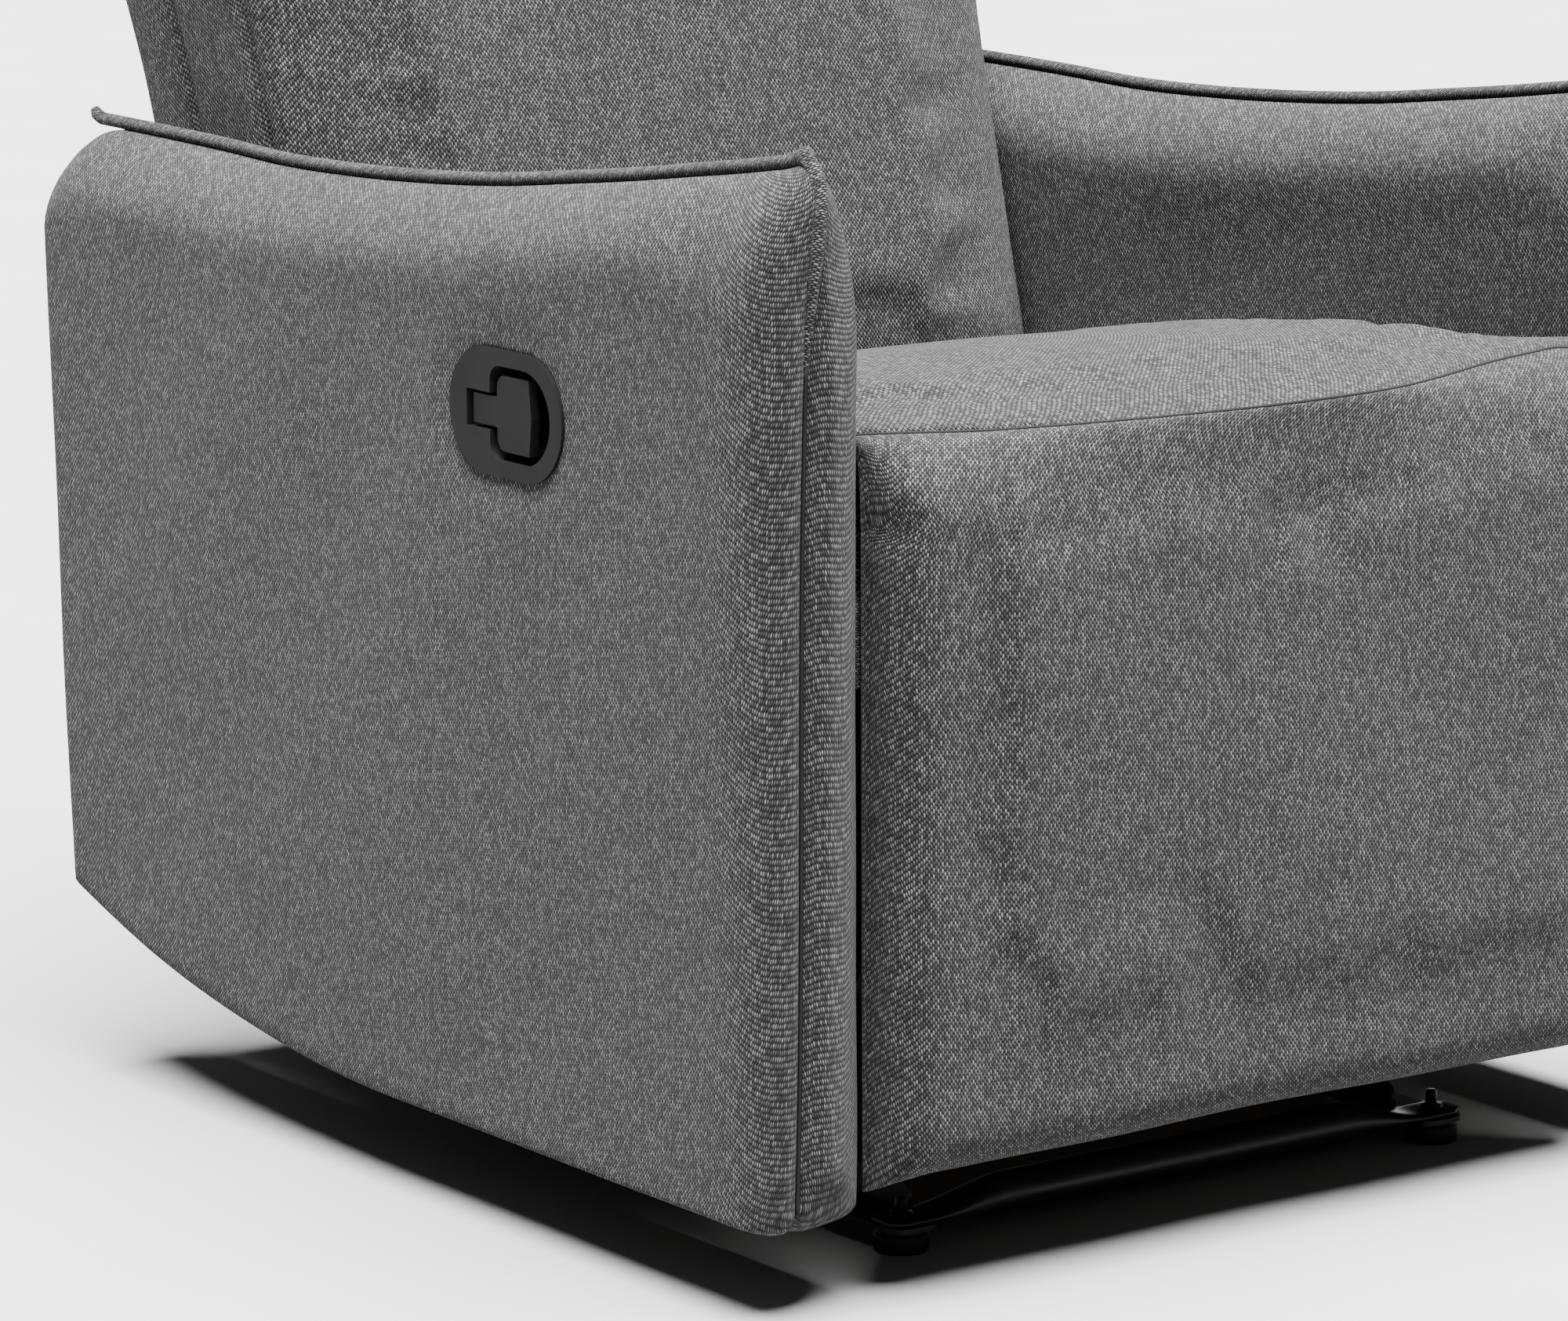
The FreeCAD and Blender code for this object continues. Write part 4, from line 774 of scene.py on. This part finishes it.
def make_flap(name, low, high, slack):
    """A loose strip of cloth that closes the gap between the seat's body and the backrest."""
    half = ARM_IN - 1.5 * MM
    low, high = np.array(low), np.array(high)
    a, b = np.meshgrid(np.linspace(-half, half, 60), np.linspace(0, 1, 14), indexing="ij")
    bulge = slack * np.sin(math.pi * b) * (1 + 0.3 * waves(51, 6, 0.3, 0.08)(a, b * 0.1))
    y = low[0] + (high[0] - low[0]) * b + bulge
    z = low[1] + (high[1] - low[1]) * b - 0.3 * bulge
    cloth = Skin().grid(np.stack([a, y, z], -1)).build(name, FABRIC)
    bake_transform(cloth)


def make_flaps():
    skirt_low, skirt_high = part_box("rear_skirt")
    behind = leaned(0.0, 0.060, 0.095)
    make_flap("rear_flap", (skirt_low.y + 1 * MM, skirt_high.z - 0.012), behind[1:], 6 * MM)
    ahead = leaned(0.0, -0.055, 0.097)
    make_flap("seat_flap", (SEAT_REAR - 3 * MM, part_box("seat_front_rail")[1].z + 4 * MM), ahead[1:], 3 * MM)


def make_skirt():
    low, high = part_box("rear_skirt")
    us = stations(high.x - low.x, 0.01, 0.01, 0.012, 4)
    vs = stations(high.z - low.z, 0.008, 0.008, 0.012, 4)
    a, b = np.meshgrid(us, vs, indexing="ij")
    x, z = low.x + (high.x - low.x) * a, low.z + (high.z - low.z) * b
    full = swell(np.minimum(x - low.x, high.x - x), 0.01) * swell(np.minimum(z - low.z, high.z - z), 0.012)
    field = waves(51, 6, 0.3, 0.1)
    skin = Skin()
    middle = (low.y + high.y) / 2
    rear = middle + (high.y - middle) * full + 0.8 * MM * field(x, z) * full
    front = middle - (middle - low.y) * full
    skin.grid(np.stack([x, rear, z], -1), True)
    skin.grid(np.stack([x, front, z], -1), False)
    cover = skin.build("rear_skirt_cover", FABRIC)
    settled(cover, "seat_body")
    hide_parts("rear_skirt")


# ---- base ----------------------------------------------------------------------------------
def make_front_tube():
    """A round tube whose ends are pressed flat over the glides."""
    low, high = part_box("front_cross_tube")
    middle, radius = (low.y + high.y) / 2, (high.z - low.z) / 2
    centre = (low.z + high.z) / 2
    rail_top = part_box("glide_studs")[0].z + 3 * MM
    half = high.x
    left_end, right_end = np.linspace(-half, -0.120, 44), np.linspace(0.120, half, 44)
    xs = np.concatenate([left_end, np.linspace(-0.11, 0.11, 12), right_end])
    flat = smooth(0.130, 0.196, abs(xs))
    tall = radius * (1 - flat) + 2.2 * MM * flat
    wide = radius * (1 - flat) + 15 * MM * flat
    height = centre * (1 - flat) + (rail_top + 2.2 * MM) * flat
    angles = np.linspace(0, 2 * math.pi, 33)
    rings = []
    for x, h, w, z, f in zip(xs, tall, wide, height, flat):
        power = 1.0 - 0.45 * f
        c, s = np.cos(angles), np.sin(angles)
        ring = np.stack([np.full_like(c, x), middle + w * np.sign(c) * abs(c) ** power,
                         z + h * np.sign(s) * abs(s) ** power], -1)
        trim = 1 - 0.35 * smooth(half - 0.012, half, abs(x)) ** 2
        ring[:, 1] = middle + (ring[:, 1] - middle) * trim
        rings.append(ring)
    rings = np.array(rings)
    skin = Skin().grid(rings)
    for end in (0, -1):
        centre_point = rings[end].mean(0)
        skin.grid(np.stack([np.repeat(centre_point[None], 33, 0), rings[end]]), end == -1)
    bar = skin.build("front_tube_pressed", BLACK)
    settled(bar, "base")
    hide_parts("front_cross_tube")


def lathe(skin, centre, profile, around=48):
    angles = np.linspace(0, 2 * math.pi, around + 1)
    rings = [np.stack([centre[0] + r * np.cos(angles), centre[1] + r * np.sin(angles),
                       np.full_like(angles, z)], -1) for r, z in profile]
    return skin.grid(np.array(rings))


def make_glides():
    low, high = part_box("floor_glides")
    radius, tall = 17 * MM, high.z
    xs, ys = (low.x + radius, high.x - radius), (low.y + radius, high.y - radius)
    skin, studs = Skin(), Skin()
    profile = [(0, 0), (0.90, 0), (0.955, 0.02), (0.985, 0.08), (1.0, 0.16), (1.0, 0.70), (0.985, 0.80),
               (0.93, 0.84), (0.90, 0.90), (0.89, 0.98), (0.86, 1.0), (0, 1.0)]
    stud_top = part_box("glide_studs")[1].z
    stud_radius = 3.75 * MM
    for x in xs:
        for y in ys:
            lathe(skin, (x, y), [(r * radius, z * tall) for r, z in profile])
            stud = [(0.0, tall), (stud_radius * 1.9, tall + 3 * MM), (stud_radius * 1.9, tall + 9.5 * MM),
                    (stud_radius * 1.05, tall + 10 * MM), (stud_radius, stud_top - 2 * MM),
                    (stud_radius * 0.75, stud_top - 0.4 * MM), (0.0, stud_top)]
            lathe(studs, (x, y), stud, 24)
    glides = skin.build("glide_pucks", GLIDE)
    settled(glides, "base")
    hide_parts("floor_glides")
    pins = studs.build("glide_bolts", BLACK)
    settled(pins, "base")
    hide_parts("glide_studs")


# ---- CAD nodes that stay -------------------------------------------------------------------
def finish_cad_nodes():
    """A real material for every CAD node that shows; the nodes themselves stay as they are."""
    by_slot = {"charcoal_plastic": PLASTIC, "glide_plastic": GLIDE, "black_steel": BLACK, "zinc_steel": ZINC,
               "frame_wood": WOOD, "webbing": WEBBING, "heather_fabric": FABRIC}
    slots = {part["node"]: part["material_slot"] for part in frame["record"]["subparts"]}
    for name, item in nodes.items():
        if item.hide_render:
            continue
        material = PLASTIC if name == "latch_pin" else by_slot[slots[name]]
        for slot in item.material_slots:
            slot.link = "OBJECT"
            slot.material = material


# ---- studio --------------------------------------------------------------------------------
FLOOR_REACH = 90.0
FLOOR_TONES = [(0.3, 0.220), (0.7, 0.235)]
WORLD_LIGHT = 0.2
SUN_LIGHT, SUN_ANGLE = 56.0, math.radians(52)
SUN_WAY = Vector((0.05, 0.15, -1.0))
LENS, SENSOR = 158.96, 36.0
CAMERA_PLACE = Vector((-2.6042, -3.5663, 1.1596))
CAMERA_FORWARD = Vector((0.57236, 0.79636, -0.19548))
CAMERA_RIGHT = Vector((0.81143, -0.58443, -0.00506))


def make_studio():
    """A plain floor, an even pale world and one soft light from above."""
    mesh = bpy.data.meshes.new("floor")
    reach = FLOOR_REACH
    mesh.from_pydata([(-reach, -reach, 0), (reach, -reach, 0), (reach, reach, 0), (-reach, reach, 0)], [],
                     [(0, 1, 2, 3)])
    floor = bpy.data.objects.new("floor", mesh)
    bpy.context.scene.collection.objects.link(floor)
    n = Nodes("floor_paint")
    place = n.add("ShaderNodeTexCoord").outputs["Object"]
    n.join(n.ramp(n.noise(place, 3.0), FLOOR_TONES), n.shader.inputs["Base Color"])
    n.shader.inputs["Roughness"].default_value = 0.9
    n.shader.inputs["Specular IOR Level"].default_value = 0.0
    mesh.materials.append(n.material)
    world = bpy.data.worlds.new("studio")
    world.use_nodes = True
    world.node_tree.nodes["Background"].inputs["Color"].default_value = (1, 1, 1, 1)
    world.node_tree.nodes["Background"].inputs["Strength"].default_value = WORLD_LIGHT
    bpy.context.scene.world = world
    sky = bpy.data.lights.new("soft_overhead", "SUN")
    sky.angle = SUN_ANGLE
    sky.energy = SUN_LIGHT
    lamp = bpy.data.objects.new("soft_overhead", sky)
    lamp.rotation_euler = SUN_WAY.to_track_quat("-Z", "Y").to_euler()
    bpy.context.scene.collection.objects.link(lamp)


def make_camera():
    """A long lens from the sitter's right front, a little above the arms."""
    data = bpy.data.cameras.new("camera")
    data.sensor_width = SENSOR
    data.lens = LENS
    data.clip_start, data.clip_end = 0.1, 100
    camera = bpy.data.objects.new("camera", data)
    forward, right = CAMERA_FORWARD.normalized(), CAMERA_RIGHT.normalized()
    up = right.cross(forward).normalized()
    turn = Matrix((right, up, -forward)).transposed()
    camera.matrix_world = Matrix.Translation(CAMERA_PLACE) @ turn.to_4x4()
    bpy.context.scene.collection.objects.link(camera)
    bpy.context.scene.camera = camera


make_camera()
make_studio()
for arm_name, arm_side in (("right", -1), ("left", 1)):
    make_arm(arm_name, arm_side)
make_seat()
make_leg_rest()
make_backrest()
make_flaps()
make_skirt()
make_front_tube()
make_glides()
finish_cad_nodes()
